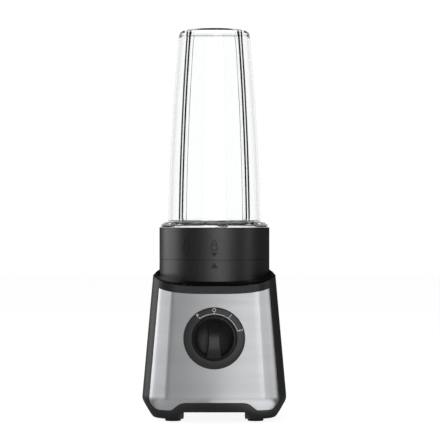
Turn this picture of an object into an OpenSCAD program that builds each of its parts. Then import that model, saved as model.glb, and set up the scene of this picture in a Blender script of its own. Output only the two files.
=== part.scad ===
// Personal countertop blender: a motor base with a dial, and a clear cup that stands upside down
// on a screw-on blade collar. Millimetres, +Z up, -Y is the front with the dial. The origin is on
// the table, under the axis that the motor and the blades turn about.

/* [Base] */
// Width and depth across the hips, where the base is widest
base_w = 124.2; // [120:0.2:132]
// How far the top edge of the base stands outside the round socket
shoulder = 4.6; // [4:0.1:6]
// Corner radius at the hips, seen from above
base_r = 24; // [20:1:27]
// Wall thickness of the housing
wall = 2.6; // [2.2:0.1:3]
// Height of the hips above the table
hip_z = 20; // [17:0.5:22]
// Height of the front top edge, at its lowest point in the middle
edge_z = 115.6; // [113:0.2:118]
// How steeply the top edge rises from the middle of the front to the sides
edge_rise = 21; // [17:0.5:24]
// Half the width of the arch between the legs
arch_w = 25.4; // [22:0.2:28]
// Height of the arch above the table
arch_z = 9.2; // [8.6:0.2:10]
// Height of the rubber feet under the legs
foot_h = 2.4; // [2:0.2:4]
// Radius of a rubber foot
foot_r = 6.8; // [6:0.2:7.2]

/* [Steel front] */
// Thickness of the brushed steel sheet
plate_t = 0.6; // [0.5:0.1:0.8]
// Width of the housing that shows beside the steel
plate_side = 6.6; // [5.6:0.1:7.4]
// Height of the steel's top edge in the middle
plate_top = 109.4; // [107:0.2:110]
// How steeply the steel's top edge rises to its sides
plate_rise = 18; // [15:0.5:21]

/* [Dial] */
// Height of the dial's centre on the sloping front
dial_z = 71.8; // [68:0.2:76]
// Outer radius of the dial ring
dial_r = 26.4; // [25:0.2:28]
// How far the dial ring stands out of the steel
dial_t = 1.8; // [1.4:0.1:2.4]
// Outer radius of the knob
knob_r = 18; // [16:0.2:19]
// How far the knob's grip stands out of the dial ring
knob_h = 11; // [9:0.5:13]
// Radius of the switch spindle that the knob sits on
spindle_r = 3; // [2.5:0.1:3.4]

/* [Jar socket] */
// Outer radius of the round socket and of the collar on it
ring_r = 48.4; // [48:0.1:49]
// Height of the seam between socket and collar above the front top edge of the base
seam_rise = 22.4; // [21:0.2:24]
// Thickness of the socket's wall
ring_wall = 2.4; // [2:0.1:2.8]
// Number of bayonet lugs
lugs = 3; // [3:1:4]
// Angle that the jar turns through between locked and free
lock_turn = 30; // [26:1:34]
// Travel of the interlock pin
pin_travel = 3; // [2.6:0.1:3.2]

/* [Collar] */
// Height of the collar above the seam
collar_h = 28; // [27:0.5:30]
// Depth of the spigot that drops into the socket
spigot_h = 11; // [10.5:0.1:12]

/* [Cup] */
// Height of the clear cup that shows above the collar
cup_h = 173; // [165:1:180]
// How far the cup's mouth lies inside the collar's side
cup_in = 7.6; // [7.4:0.1:8]
// How much smaller the cup's radius is at its closed end
cup_taper = 9.5; // [8:0.1:11]
// Wall thickness of the cup
cup_wall = 2.4; // [2:0.1:2.6]
// Thickness of the cup's closed end
cup_floor = 5; // [4:0.5:6]
// Depth of the four flutes pressed into the cup's wall
flute_d = 2.2; // [1.6:0.1:2.6]
// Half the width of a flute
flute_w = 3.8; // [3.2:0.1:4.6]

/* [Motor] */
// Radius of the motor shaft
shaft_r = 3; // [2.5:0.1:3.2]
// Half the side of the stator core
stator_w = 27; // [26:0.5:29]
// Radius of the cooling fan
fan_r = 24; // [22:0.5:25]
// Radius of the drive coupling
coupling_r = 13; // [12.6:0.1:13.4]

/* [Blades] */
// Reach of the long lower blade from the axis
blade_reach = 28; // [25:0.5:30]
// Thickness of the blade steel
blade_t = 1.5; // [1.2:0.1:1.8]
// Radius of the blade shaft
blade_shaft_r = 4; // [3.6:0.1:4.2]

/* [Mains inlet] */
// Bore radius of the mains lead's inlet bush
inlet_r = 3.6; // [3.2:0.1:4]
// Height of the inlet at the back
inlet_z = 30; // [28:0.5:34]

/* [Hidden] */
$fn = 72;
fit = 0.3;           // clearance between pieces that move past or drop into each other
snug = 0.1;          // clearance between pieces that are assembled for good
run = 0.05;          // radial clearance of a shaft in its bush

// ---- plan outlines -------------------------------------------------------------------------
corner_steps = 10;
// A square with round corners, as points on one level. h is half its side and r its corner radius.
function plan(h, r, z) = [
    for (q = [0:3]) for (i = [0:corner_steps])
        let (a = q * 90 + i * 90 / corner_steps, s = q * 90 + 45)
            [(h - r) * sign(cos(s)) + r * cos(a), (h - r) * sign(sin(s)) + r * sin(a), z]
];
// A closed solid through a stack of point rings of one length.
module skin(rings) {
    n = len(rings[0]);
    last = (len(rings) - 1) * n;
    polyhedron(
        points = [for (ring = rings) each ring],
        faces = [
            [for (i = [0:n - 1]) i],
            for (k = [0:len(rings) - 2]) for (i = [0:n - 1])
                let (j = (i + 1) % n)
                    [k * n + i, (k + 1) * n + i, (k + 1) * n + j, k * n + j],
            [for (i = [n - 1:-1:0]) last + i]
        ]
    );
}
// A tube of radius r swept along a list of points, with a flat end at each end.
tube_sides = 8;
function unit(v) = v / norm(v);
function tangent(path, i) = unit(path[min(i + 1, len(path) - 1)] - path[max(i - 1, 0)]);
module tube(path, r) {
    up = [0.11, 0.23, 0.97];
    skin([
        for (i = [0:len(path) - 1])
            let (t = tangent(path, i), u = unit(cross(t, up)), v = cross(t, u))
                [for (k = [0:tube_sides - 1])
                    path[i] + r * (cos(k * 360 / tube_sides) * u + sin(k * 360 / tube_sides) * v)]
    ]);
}
module ring(r_out, r_in, h) {
    difference() {
        cylinder(r = r_out, h = h);
        translate([0, 0, -1]) cylinder(r = r_in, h = h + 2);
    }
}
// A slice of a ring between two angles.
module arc_ring(r_out, r_in, h, from, to) {
    reach = r_out * 2;
    mid = (from + to) / 2;
    intersection() {
        ring(r_out, r_in, h);
        linear_extrude(height = h)
            polygon([[0, 0], reach * [cos(from), sin(from)], reach * [cos(mid), sin(mid)],
                     reach * [cos(to), sin(to)]]);
    }
}
module at_corners(x, y) {
    for (sx = [-1, 1]) for (sy = [-1, 1]) translate([sx * x, sy * y, 0]) children();
}

// ---- base shape ----------------------------------------------------------------------------
hip_h = base_w / 2;
top_half = ring_r + shoulder;                            // half the width at the top of the side walls
top_z = edge_z + 7.4;
lean_run = (hip_h - top_half) / (top_z - hip_z);         // how far the wall leans in per mm of height
lean = atan(lean_run);
leg_h = hip_h - 10.6;                                    // half the width at the foot of the legs
block_top = edge_z + 22;                                 // above every point of the curved top edge
function half(z) = hip_h - (z - hip_z) * lean_run;
function corner(h) = base_r * h / hip_h;                 // the corners taper with the width
// The outline of the base at a level where its half width is h, drawn in by inset.
function base_plan(h, inset, z) = plan(h - inset, corner(h) - inset, z);
// The outer form of the base, or the same form drawn in by inset.
module base_form(inset) {
    skin([
        base_plan(leg_h, inset, foot_h),
        base_plan(leg_h + 2.4, inset, foot_h + 1),
        base_plan(hip_h - 1.2, inset, hip_z - 3),
        base_plan(hip_h, inset, hip_z),
        base_plan(half(block_top), inset, block_top)
    ]);
}
module slab(z0, z1) {
    translate([-base_w, -base_w, z0]) cube([base_w * 2, base_w * 2, z1 - z0]);
}
// The top edge is nearly level in the middle of the front and climbs to the sides.
edge_reach = top_half + 3;
edge_steps = 20;
function climb(x, rise) = rise * (1 - pow(1 - pow(min(abs(x) / edge_reach, 1), 3), 1 / 3));
function edge_at(x) = edge_z + climb(x, edge_rise);
module above_edge() {
    rotate([90, 0, 0]) translate([0, 0, -base_w]) linear_extrude(height = base_w * 2)
        polygon(concat(
            [for (i = [-edge_steps:edge_steps]) let (x = edge_reach * sin(90 * i / edge_steps))
                [x, edge_at(x)]],
            [[edge_reach, block_top + 5], [-edge_reach, block_top + 5]]
        ));
}
module front_frame(z) {
    translate([0, -half(z), z]) rotate([90 - lean, 0, 0]) children();
}
dial_face = half(dial_z);

// ---- heights that follow from the driving sizes ------------------------------------------------
seam_z = edge_z + seam_rise;
cover_under = arch_z;                       // underside of the bottom cover
cover_t = 2.4;
cover_top = cover_under + cover_t;
ledge_z = edge_z - 9;                       // the top cover's skirt stands on this ledge
ledge_t = 3;
socket_floor_t = 2.5;
socket_floor = seam_z - 18.5;               // top of the socket's floor
socket_under = socket_floor - socket_floor_t;
collar_bottom = seam_z + fit;
collar_top = seam_z + collar_h;
cup_total = collar_top + cup_h;
spigot_r = ring_r - ring_wall - 2.8;        // outer radius of the collar's spigot
spigot_wall = 2.6;
spigot_z = seam_z - spigot_h;
lug_r = ring_r - ring_wall - 0.4;
lug_t = 2.5;
lug_z = spigot_z + 1;
lug_arc = 24;
ledge_under = lug_z + lug_t + 0.5;          // underside of the socket's bayonet ledge
bay_ledge_t = 2.4;
lug_start = 60;                             // angle of the first lug when locked
floor_z = collar_top - 19;                  // underside of the collar's floor
floor_t = 3;
floor_top = floor_z + floor_t;

// Motor stack, hung from the socket's floor.
post_h = 15;                                // motor posts under the socket floor
damper_t = 3;
bracket_t = 3;
bracket_z = socket_under - post_h - damper_t - bracket_t;  // underside of the top bracket
fan_z = cover_top + 3.4;
bottom_bracket_z = fan_z + 14;
stator_z = bottom_bracket_z + 25;
stator_h = bracket_z - 14 - stator_z;        // the core fills the height between the brackets
leg_h_top = bracket_z - stator_z - stator_h - 0.02;
armature_r = stator_w - 10.6;                // leaves room for the poles and the coils
post_x = (ring_r - 4.6) / sqrt(2);           // the motor's four hanging posts
commutator_h = 10;
commutator_z = stator_z - 18;
shaft_bottom = fan_z - 1;
drive_z = socket_floor + 3.2;
drive_disc_t = 3.6;
dog_h = 5;
shaft_top = drive_z + drive_disc_t - 1;
driven_z = drive_z + drive_disc_t + dog_h + 0.5;
driven_t = 4;

// ---- housing -------------------------------------------------------------------------------
foot_x = leg_h - foot_r - 9.2;
foot_y = foot_x + 2.5;
post_r = 4.2;
screw_r = 1.5;
post_top = 34;
// Ribs run from each post straight out to the side wall.
module posts_and_ribs() {
    for (sx = [-1, 1]) for (sy = [-1, 1]) intersection() {
        base_form(wall / 2);
        translate([sx * foot_x, sy * foot_y, cover_top + snug]) difference() {
            union() {
                cylinder(r = post_r, h = post_top - cover_top);
                translate([sx > 0 ? 0 : -base_w, -1, 0]) cube([base_w, 2, post_top - cover_top - 6]);
            }
            translate([0, 0, -1]) cylinder(r = screw_r, h = 17);
        }
    }
}
vent_w = 44;
vent_h = 22;
vent_z = 58;                                // height of the rear vent's middle
inlet_seat = inlet_r + 3.4;
module back_frame(z) {
    translate([0, half(z), z]) rotate([-90 + lean, 0, 0]) children();
}
module housing() {
    color([0.2, 0.2, 0.21]) difference() {
        union() {
            difference() {
                base_form(0);
                difference() {
                    base_form(wall);
                    slab(ledge_z - ledge_t, ledge_z);
                }
                intersection() {
                    base_form(wall + 2);
                    slab(0, block_top);
                }
                slab(foot_h - 1, foot_h);
            }
            posts_and_ribs();
        }
        intersection() {
            base_form(-1);
            above_edge();
        }
        for (a = [0, 90]) rotate([0, 0, a])
            translate([-arch_w, -base_w, 0]) cube([arch_w * 2, base_w * 2, arch_z]);
        plate_pocket();
        front_frame(dial_z) translate([0, 0, -wall - 2]) cylinder(r = bushing_r + snug, h = wall + 4);
        back_frame(inlet_z) translate([0, 0, -wall - 2]) cylinder(r = inlet_seat + snug, h = wall + 4);
        back_frame(vent_z) translate([-vent_w / 2, -vent_h / 2, -wall - 2])
            cube([vent_w, vent_h, wall + 4]);
    }
}

// ---- steel front -----------------------------------------------------------------------------
plate_hip = hip_z;
function plate_x(z) = half(z) - plate_side;
plate_steps = 14;
plate_low = arch_z + 1.6;
plate_arch = arch_z + 8.2;
// Right half of the steel's outline seen from the front, from the top centre down to the bottom centre.
function plate_half() = let (x = plate_x(plate_top + 4)) concat(
    [for (i = [0:plate_steps]) let (u = x * i / plate_steps) [u, plate_top + climb(u, plate_rise)]],
    [[plate_x(plate_hip), plate_hip],
     [plate_x(plate_hip) - 1.8, plate_hip - 3],
     [plate_x(plate_hip) - 6.4, plate_hip - 7.6],
     [plate_x(plate_hip) - 10, plate_low],
     [arch_w + 10.2, plate_low],
     [arch_w + 8, plate_low + 1.4],
     [arch_w + 4, plate_arch - 1.6],
     [arch_w + 2, plate_arch - 0.4],
     [arch_w - 0.6, plate_arch]]
);
module plate_outline(grow) {
    right = plate_half();
    left = [for (i = [len(right) - 1:-1:1]) [-right[i][0], right[i][1]]];
    translate([0, 0, 0]) rotate([90, 0, 0]) linear_extrude(height = base_w)
        offset(delta = grow) polygon(concat(right, left));
}
module plate_pocket() {
    intersection() {
        difference() {
            base_form(-1);
            base_form(plate_t + snug);
        }
        plate_outline(snug);
    }
}
module front_plate() {
    color([0.75, 0.76, 0.77]) difference() {
        intersection() {
            base_form(0);
            plate_outline(0);
        }
        base_form(plate_t);
        front_frame(dial_z) translate([0, 0, -4]) cylinder(r = dial_boss_r + snug, h = 8);
    }
}

// ---- dial ring, knob and rotary switch -------------------------------------------------------
dial_boss_r = knob_r + 2;
well_r = knob_r + 0.9;                       // the knob turns in this well
bushing_r = spindle_r + 1.8;
module dial_ring() {
    color([0.22, 0.22, 0.23]) front_frame(dial_z) difference() {
        union() {
            translate([0, 0, 0.05]) cylinder(r1 = dial_r, r2 = dial_r - 0.6, h = dial_t);
            translate([0, 0, -plate_t]) cylinder(r = dial_boss_r, h = plate_t + 0.5);
        }
        translate([0, 0, -plate_t - 1]) cylinder(r = well_r, h = dial_t + plate_t + 2);
    }
}
grip_w = 8;                                  // width of the grip bar at its pointer end
grip_w2 = 12;                                // width of the grip bar at its tail
knob_base = 0.6;
knob_skirt = dial_t + 2.6;
nut_top = 1.2;
module knob() {
    top = dial_t + knob_h;
    under = nut_top + 0.5;
    color([0.1, 0.1, 0.11]) front_frame(dial_z) difference() {
        union() {
            difference() {
                translate([0, 0, knob_base]) cylinder(r = knob_r, h = knob_skirt - knob_base);
                translate([0, 0, under + 1.2]) cylinder(r = knob_r - 1.4, h = knob_skirt);
                translate([0, 0, -1]) cylinder(r = knob_r - 2, h = under + 1);
            }
            intersection() {
                translate([0, 0, under]) cylinder(r = knob_r - 0.4, h = top);
                translate([0, 0, under]) linear_extrude(height = top - under)
                    polygon([[-grip_w / 2, knob_r], [grip_w / 2, knob_r],
                             [grip_w2 / 2, -knob_r], [-grip_w2 / 2, -knob_r]]);
                translate([-knob_r, 0, top - knob_r * 2.6]) rotate([0, 90, 0])
                    cylinder(r = knob_r * 2.6, h = knob_r * 2);
            }
        }
        translate([0, 0, -1]) cylinder(r = spindle_r + snug, h = top - 2);
    }
}
switch_d = 15;                               // depth of the switch body
switch_w = 24;
switch_in = -wall - fit;                     // front of the switch body, on the face frame
module switch_spindle() {
    foot = switch_in - switch_d + 2;
    color([0.85, 0.85, 0.8]) front_frame(dial_z) translate([0, 0, foot])
        cylinder(r = spindle_r, h = dial_t + knob_h - 3.4 - foot);
}
module rotary_switch() {
    color([0.15, 0.15, 0.16]) front_frame(dial_z) difference() {
        union() {
            translate([-switch_w / 2, -switch_w / 2, switch_in - switch_d])
                cube([switch_w, switch_w, switch_d]);
            translate([0, 0, switch_in - 0.5]) cylinder(r = bushing_r, h = nut_top + 0.3 + 0.5 - switch_in);
        }
        translate([0, 0, switch_in - switch_d + 1.9]) cylinder(r = spindle_r + run, h = switch_d + wall + 5);
    }
}
module switch_nut() {
    seat = -plate_t - snug;
    color([0.8, 0.78, 0.7]) front_frame(dial_z) translate([0, 0, seat + 0.02]) difference() {
        cylinder(r = bushing_r + 3.4, h = nut_top - seat - 0.02, $fn = 6);
        translate([0, 0, -1]) cylinder(r = bushing_r + 0.02, h = 4);
    }
}
terminal_l = 7;
terminal_x = [-8, 8];
terminal_y = [-8, 8];
module switch_terminals() {
    color([0.85, 0.7, 0.35]) front_frame(dial_z) for (x = terminal_x) for (y = terminal_y)
        translate([x - 1.6, y - 0.4, switch_in - switch_d - terminal_l]) cube([3.2, 0.8, terminal_l - 0.01]);
}

// ---- top cover and jar socket ----------------------------------------------------------------
cover_rise = 4.2;                            // how far the cover's top stands above the housing's edge
cover_inset = wall + fit;
cover_skin = 2.4;
cover_steps = 96;
lip_h = 1.6;
hole_r = ring_r + snug;
// Distance from the axis to the side of a round-cornered square, in the direction a.
function square_reach(a, h, r) = let (
    big = max(abs(cos(a)), abs(sin(a))), small = min(abs(cos(a)), abs(sin(a))),
    c = h - r, along = c * (big + small)
) h / big * small <= c ? h / big : along + sqrt(along * along + r * r - 2 * c * c);
cover_half = half(edge_at(top_half)) - cover_inset;
cover_corner = corner(cover_half + cover_inset) - cover_inset;
function skirt_r(a) = square_reach(a, cover_half, cover_corner);
function rim_z(a) = edge_at(skirt_r(a) * cos(a));
function lip_r(a) = square_reach(a, half(rim_z(a)) - cover_inset, cover_corner);
// Loops of points round the cover: one at a level, one that follows the top edge, and one on the
// cover's top, where share runs from 0 at the lip to 1 at the socket.
function level_loop(depth, z) = [
    for (i = [0:cover_steps - 1]) let (a = i * 360 / cover_steps, d = max(skirt_r(a) - depth, hole_r))
        [d * cos(a), d * sin(a), z]
];
function rim_loop(depth, rise) = [
    for (i = [0:cover_steps - 1]) let (a = i * 360 / cover_steps, d = max(skirt_r(a) - depth, hole_r))
        [d * cos(a), d * sin(a), edge_at(d * cos(a)) + rise]
];
function lip_loop(share, rise) = [
    for (i = [0:cover_steps - 1]) let (a = i * 360 / cover_steps, d = lip_r(a) + (hole_r - lip_r(a)) * share)
        [d * cos(a), d * sin(a), edge_at(d * cos(a)) + rise]
];
// A closed solid whose section is the stack of loops, joined end to end.
module loops_ring(loops) {
    n = len(loops[0]);
    m = len(loops);
    polyhedron(
        points = [for (loop = loops) each loop],
        faces = [for (k = [0:m - 1]) for (i = [0:n - 1])
            let (j = (i + 1) % n, k2 = (k + 1) % m) [k * n + i, k2 * n + i, k2 * n + j, k * n + j]]
    );
}
ear_x = (ring_r + 6.2) / sqrt(2);
ear_r = 4.6;
ear_t = 3;
ear_z = socket_under - 4;
module top_cover() {
    color([0.04, 0.04, 0.045]) difference() {
        union() {
            loops_ring([
                level_loop(0, ledge_z + snug),
                rim_loop(0, -lip_h - 0.8),
                lip_loop(0, -lip_h),
                lip_loop(0, 0.4),
                lip_loop(0.35, cover_rise * 0.62),
                lip_loop(0.75, cover_rise * 0.94),
                lip_loop(1, cover_rise),
                rim_loop(base_w, cover_rise - cover_skin),
                rim_loop(cover_skin, cover_rise * 0.4 - cover_skin),
                level_loop(cover_skin, ledge_z + snug)
            ]);
            at_corners(ear_x, ear_x) translate([0, 0, ear_z + ear_t])
                cylinder(r = ear_r - 0.4, h = edge_at(ear_x) + 2 - ear_z - ear_t);
        }
        at_corners(ear_x, ear_x) translate([0, 0, ear_z]) cylinder(r = screw_r, h = ear_t + 5);
    }
}
pin_angle = 188;
pin_r = 2.2;
pin_reach = spigot_r - spigot_wall - pin_r - 0.6;
guide_r = 4.6;
drip_r = 8.4;
cage_t = 1.6;
switch_l = 16;
switch_t = 8;
micro_h = 11;
cam_low = spigot_z + 0.3;                    // the cam's underside over the pressed pin
pin_top = cam_low - fit;
pin_len = 27;
pin_bottom = pin_top - pin_len;
cage_z = pin_bottom + 2;                     // the interlock spring's seat
pin_collar_z = socket_under - 6.4;
pin_collar_t = 1.2;
micro_top = pin_bottom - snug;
module at_pin() {
    rotate([0, 0, pin_angle]) translate([pin_reach, 0, 0]) children();
}
// Two walls under the socket's floor that hold the interlock's switch, and a shelf for its spring.
module interlock_cage() {
    foot = micro_top - micro_h + 2;
    for (y = [-switch_l / 2 - cage_t, switch_l / 2])
        translate([-switch_t / 2, y, foot]) cube([switch_t, cage_t, socket_under + 1 - foot]);
    translate([-switch_t / 2, -switch_l / 2 - 0.5, cage_z - cage_t]) cube([switch_t, switch_l + 1, cage_t]);
}
module socket_ear() {
    translate([0, 0, ear_z]) cylinder(r = ear_r, h = ear_t - snug);
}
module jar_socket() {
    inner = ring_r - ring_wall;
    ear_reach = ear_x * sqrt(2);
    color([0.16, 0.16, 0.17]) difference() {
        union() {
            translate([0, 0, socket_under]) ring(ring_r, inner, seam_z - socket_under);
            translate([0, 0, socket_under]) ring(ring_r - 0.5, drip_r, socket_floor_t);
            translate([0, 0, socket_under]) ring(drip_r + 1.8, drip_r, socket_floor_t + 2);
            translate([0, 0, ledge_under]) difference() {
                ring(inner + 0.4, spigot_r + 0.4, bay_ledge_t);
                for (i = [0:lugs - 1]) translate([0, 0, -1])
                    arc_ring(inner + 1, spigot_r - 2, bay_ledge_t + 2,
                        lug_start + i * 360 / lugs + lock_turn - lug_arc / 2 - 2,
                        lug_start + i * 360 / lugs + lock_turn + lug_arc / 2 + 2);
            }
            at_pin() {
                translate([0, 0, socket_under - 1.5]) cylinder(r = guide_r, h = socket_floor_t + 3.5);
                interlock_cage();
            }
            at_corners(ear_x, ear_x) socket_ear();
            for (a = [45:90:315]) rotate([0, 0, a]) {
                translate([ring_r - 4, -3, ear_z]) cube([ear_reach - ring_r + 4, 6, ear_t - snug]);
                translate([ring_r - 4, -3, ear_z]) cube([3.5, 6, socket_under - ear_z + 1]);
                translate([post_x * sqrt(2) - 8, -1, socket_under - post_h + 4]) cube([8, 2, post_h - 3]);
            }
            at_corners(post_x, post_x) translate([0, 0, socket_under - post_h])
                cylinder(r = 4, h = post_h + 1);
        }
        at_pin() translate([0, 0, cage_z - 5]) cylinder(r = pin_r + run, h = pin_len);
        at_corners(post_x, post_x) translate([0, 0, socket_under - post_h - 1])
            cylinder(r = screw_r, h = 12);
        at_corners(ear_x, ear_x) translate([0, 0, ear_z - 1]) cylinder(r = screw_r + 0.2, h = ear_t + 2);
    }
}
module socket_screws() {
    color("silver") at_corners(ear_x, ear_x) {
        translate([0, 0, ear_z - 2 - 0.02]) cylinder(r = 3, h = 2);
        translate([0, 0, ear_z - 0.5]) cylinder(r = screw_r - 0.05, h = ear_t + 5.3);
    }
}

// ---- bottom cover, feet and screws -------------------------------------------------------------
pad_in = 1;
module bottom_cover() {
    inset = wall + fit;
    color([0.15, 0.15, 0.16]) difference() {
        union() {
            intersection() {
                base_form(inset);
                slab(cover_under, cover_top);
            }
            intersection() {
                base_form(inset);
                for (sx = [-1, 1]) for (sy = [-1, 1])
                    translate([sx > 0 ? arch_w + 1 : -base_w, sy > 0 ? arch_w + 1 : -base_w, foot_h])
                        cube([base_w - arch_w - 1, base_w - arch_w - 1, cover_under - foot_h + 1]);
            }
        }
        at_corners(foot_x, foot_y) {
            translate([0, 0, foot_h - 1]) cylinder(r = foot_r + snug, h = pad_in + 1);
            translate([0, 0, foot_h]) cylinder(r = 3.4, h = 3.4);
            translate([0, 0, foot_h]) cylinder(r = screw_r + 0.3, h = 10);
        }
        for (i = [-4:4]) translate([i * 5 - 1.2, -17, cover_under - 1]) cube([2.4, 34, cover_t + 2]);
    }
}
module feet() {
    color([0.06, 0.06, 0.06]) at_corners(foot_x, foot_y) {
        cylinder(r1 = foot_r - 0.6, r2 = foot_r, h = 1);
        translate([0, 0, 1]) cylinder(r = foot_r, h = foot_h + pad_in - 1 - snug);
    }
}
module bottom_screws() {
    color("silver") at_corners(foot_x, foot_y) {
        translate([0, 0, foot_h + 3.4 - 2.1]) cylinder(r = 2.8, h = 2);
        translate([0, 0, foot_h + 3.2]) cylinder(r = screw_r - 0.05, h = 16);
    }
}

// ---- mains inlet and rear vent -----------------------------------------------------------------
inlet_out = 8.3;                             // how far the bush stands out of the back
inlet_in = 10;                               // and how far it reaches into the housing
module inlet_bush() {
    lip = 3;
    color([0.05, 0.05, 0.05]) back_frame(inlet_z) difference() {
        union() {
            translate([0, 0, 0.05]) cylinder(r = inlet_seat + 2, h = 2);
            translate([0, 0, 2]) cylinder(r1 = inlet_seat + 1, r2 = inlet_seat - 0.8, h = inlet_out - 2);
            translate([0, 0, -inlet_in]) cylinder(r = inlet_seat, h = inlet_in + 1);
            translate([0, 0, -wall - snug - lip]) cylinder(r = inlet_seat + 1.2, h = lip);
        }
        translate([0, 0, -inlet_in - 1]) cylinder(r = inlet_r, h = inlet_in + inlet_out + 2);
    }
}
module rear_vent() {
    slots = 6;
    gap = 2.2;
    pitch = (vent_h - 4) / slots;
    color([0.15, 0.15, 0.16]) back_frame(vent_z) difference() {
        translate([-vent_w / 2 + snug, -vent_h / 2 + snug, -2])
            cube([vent_w - snug * 2, vent_h - snug * 2, 2]);
        for (i = [0:slots - 1]) translate([0, -vent_h / 2 + 2 + pitch * (i + 0.5), -1])
            cube([vent_w - 6, gap, 4], center = true);
    }
}

// ---- interlock --------------------------------------------------------------------------------
module interlock_pin() {
    color([0.85, 0.85, 0.85]) at_pin() {
        translate([0, 0, pin_bottom]) cylinder(r = pin_r, h = pin_len - pin_r);
        translate([0, 0, pin_top - pin_r]) sphere(r = pin_r);
        translate([0, 0, pin_collar_z]) cylinder(r = pin_r + 1.6, h = pin_collar_t);
    }
}
spring_r = pin_r + 0.9;
spring_wire = 0.45;
spring_turns = 5;
module interlock_spring() {
    h = pin_collar_z - cage_z - 2 * spring_wire - 0.1;
    steps = spring_turns * 14;
    color("silver") at_pin() translate([0, 0, cage_z + 0.05])
        tube([for (i = [0:steps]) let (a = i * 360 / 14)
            [spring_r * cos(a), spring_r * sin(a), spring_wire + h * i / steps]], spring_wire);
}
module micro_switch() {
    color([0.1, 0.1, 0.12]) at_pin() translate([-4, -switch_l / 2, micro_top - micro_h])
        cube([8, switch_l, micro_h]);
}

// ---- motor ------------------------------------------------------------------------------------
bearing_r = 8;
bearing_h = 9;
leg_r = 2.6;
leg_x = stator_w - 6;
module motor_bracket_top() {
    color([0.7, 0.7, 0.72]) translate([0, 0, bracket_z]) difference() {
        union() {
            linear_extrude(height = bracket_t) difference() {
                union() {
                    for (a = [45, 135]) rotate(a) square([post_x * 2 * sqrt(2), 12], center = true);
                    for (a = [45:90:315]) rotate(a) translate([post_x * sqrt(2), 0]) circle(r = 7);
                    circle(r = bearing_r + 3);
                }
                for (a = [45:90:315]) rotate(a) translate([post_x * sqrt(2), 0]) circle(r = screw_r + 1.6);
                circle(r = bearing_r);
            }
            at_corners(leg_x, leg_x) translate([0, 0, -leg_h_top]) cylinder(r = leg_r, h = leg_h_top + 1);
        }
        at_corners(leg_x, leg_x) translate([0, 0, -leg_h_top - 1]) cylinder(r = screw_r, h = 12);
    }
}
module motor_bracket_bottom() {
    bar = stator_w * 2 - 1;
    color([0.7, 0.7, 0.72]) difference() {
        union() {
            translate([-bar / 2, -6, bottom_bracket_z]) cube([bar, 12, bracket_t]);
            for (sx = [-1, 1]) translate([sx * (bar / 2 - 1.5) - 1.5, -6, bottom_bracket_z])
                cube([3, 12, stator_z - bottom_bracket_z - 0.02]);
            translate([0, 0, bottom_bracket_z]) cylinder(r = bearing_r + 3, h = bracket_t);
        }
        translate([0, 0, bottom_bracket_z - 1]) cylinder(r = bearing_r, h = bracket_t + 2);
    }
}
module motor_dampers() {
    color([0.1, 0.1, 0.1]) translate([0, 0, bracket_z]) at_corners(post_x, post_x) difference() {
        union() {
            translate([0, 0, bracket_t + 0.02]) cylinder(r = 5, h = damper_t - 0.04);
            cylinder(r = screw_r + 1.5, h = bracket_t + 1);
            translate([0, 0, -2.02]) cylinder(r = 5, h = 2);
        }
        translate([0, 0, -3]) cylinder(r = screw_r + 0.1, h = bracket_t + damper_t + 5);
    }
}
module motor_screws() {
    color("silver") translate([0, 0, bracket_z]) at_corners(post_x, post_x) {
        translate([0, 0, -4.1]) cylinder(r = 3.6, h = 2);
        translate([0, 0, -2.5]) cylinder(r = screw_r - 0.05, h = bracket_t + damper_t + 11);
    }
}
module stator_core() {
    color([0.45, 0.45, 0.48]) translate([0, 0, stator_z]) difference() {
        linear_extrude(height = stator_h) difference() {
            square(stator_w * 2, center = true);
            for (a = [45:90:315]) rotate(a) translate([stator_w * 1.3, -stator_w])
                square([stator_w, stator_w * 2]);
        }
        translate([0, 0, -1]) cylinder(r = armature_r + 0.6, h = stator_h + 2);
        for (sy = [-1, 1]) translate([-coil_x - 0.2, sy * coil_y - 3.5, -1])
            cube([coil_x * 2 + 0.4, 7, stator_h + 2]);
    }
}
// Each coil is a flat loop of wire through the two slots on one side of the armature.
coil_x = stator_w - 4.6;
coil_in = armature_r + 1;
coil_y = armature_r - 3.9;
coil_over = 8;                               // how far the coils reach past the core
module field_coils() {
    color([0.72, 0.38, 0.2]) translate([0, 0, stator_z]) for (sx = [-1, 1]) difference() {
        union() {
            for (sy = [-1, 1]) translate([sx > 0 ? coil_in : -coil_x, sy * coil_y - 3.2, -coil_over])
                cube([coil_x - coil_in, 6.4, stator_h + coil_over * 2]);
            for (z = [-coil_over, stator_h + 2]) translate([sx > 0 ? coil_in : -coil_x, -armature_r, z])
                cube([coil_x - coil_in, armature_r * 2, coil_over - 2]);
        }
        translate([0, 0, -coil_over - 1]) cylinder(r = armature_r + 0.9, h = stator_h + coil_over * 2 + 2);
    }
}
holder_z = commutator_z + commutator_h / 2;
holder_in = 11;
holder_out = stator_w - 3.7;
brush_w = 5;
module brush_holders() {
    color([0.82, 0.68, 0.35]) for (sx = [-1, 1]) difference() {
        translate([sx > 0 ? holder_in : -holder_out, -brush_w / 2 - 1, holder_z - brush_w / 2 - 1])
            cube([holder_out - holder_in, brush_w + 2, brush_w + 2]);
        translate([sx > 0 ? holder_in - 1 : 1 - holder_out, -brush_w / 2 - snug / 2,
                holder_z - brush_w / 2 - snug / 2])
            cube([holder_out - holder_in, brush_w + snug, brush_w + snug]);
    }
}
commutator_r = 9;
module carbon_brushes() {
    color([0.1, 0.1, 0.1]) for (sx = [-1, 1])
        translate([sx > 0 ? commutator_r + 0.3 : -stator_w + 8, -brush_w / 2, holder_z - brush_w / 2])
            cube([stator_w - 8 - commutator_r - 0.3, brush_w, brush_w]);
}
module bearing(z) {
    translate([0, 0, z]) ring(bearing_r - 0.02, shaft_r + run, bearing_h);
}
module bearing_top() {
    color([0.7, 0.55, 0.3]) bearing(bracket_z - 3);
}
module bearing_bottom() {
    color([0.7, 0.55, 0.3]) bearing(bottom_bracket_z - 3);
}
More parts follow.
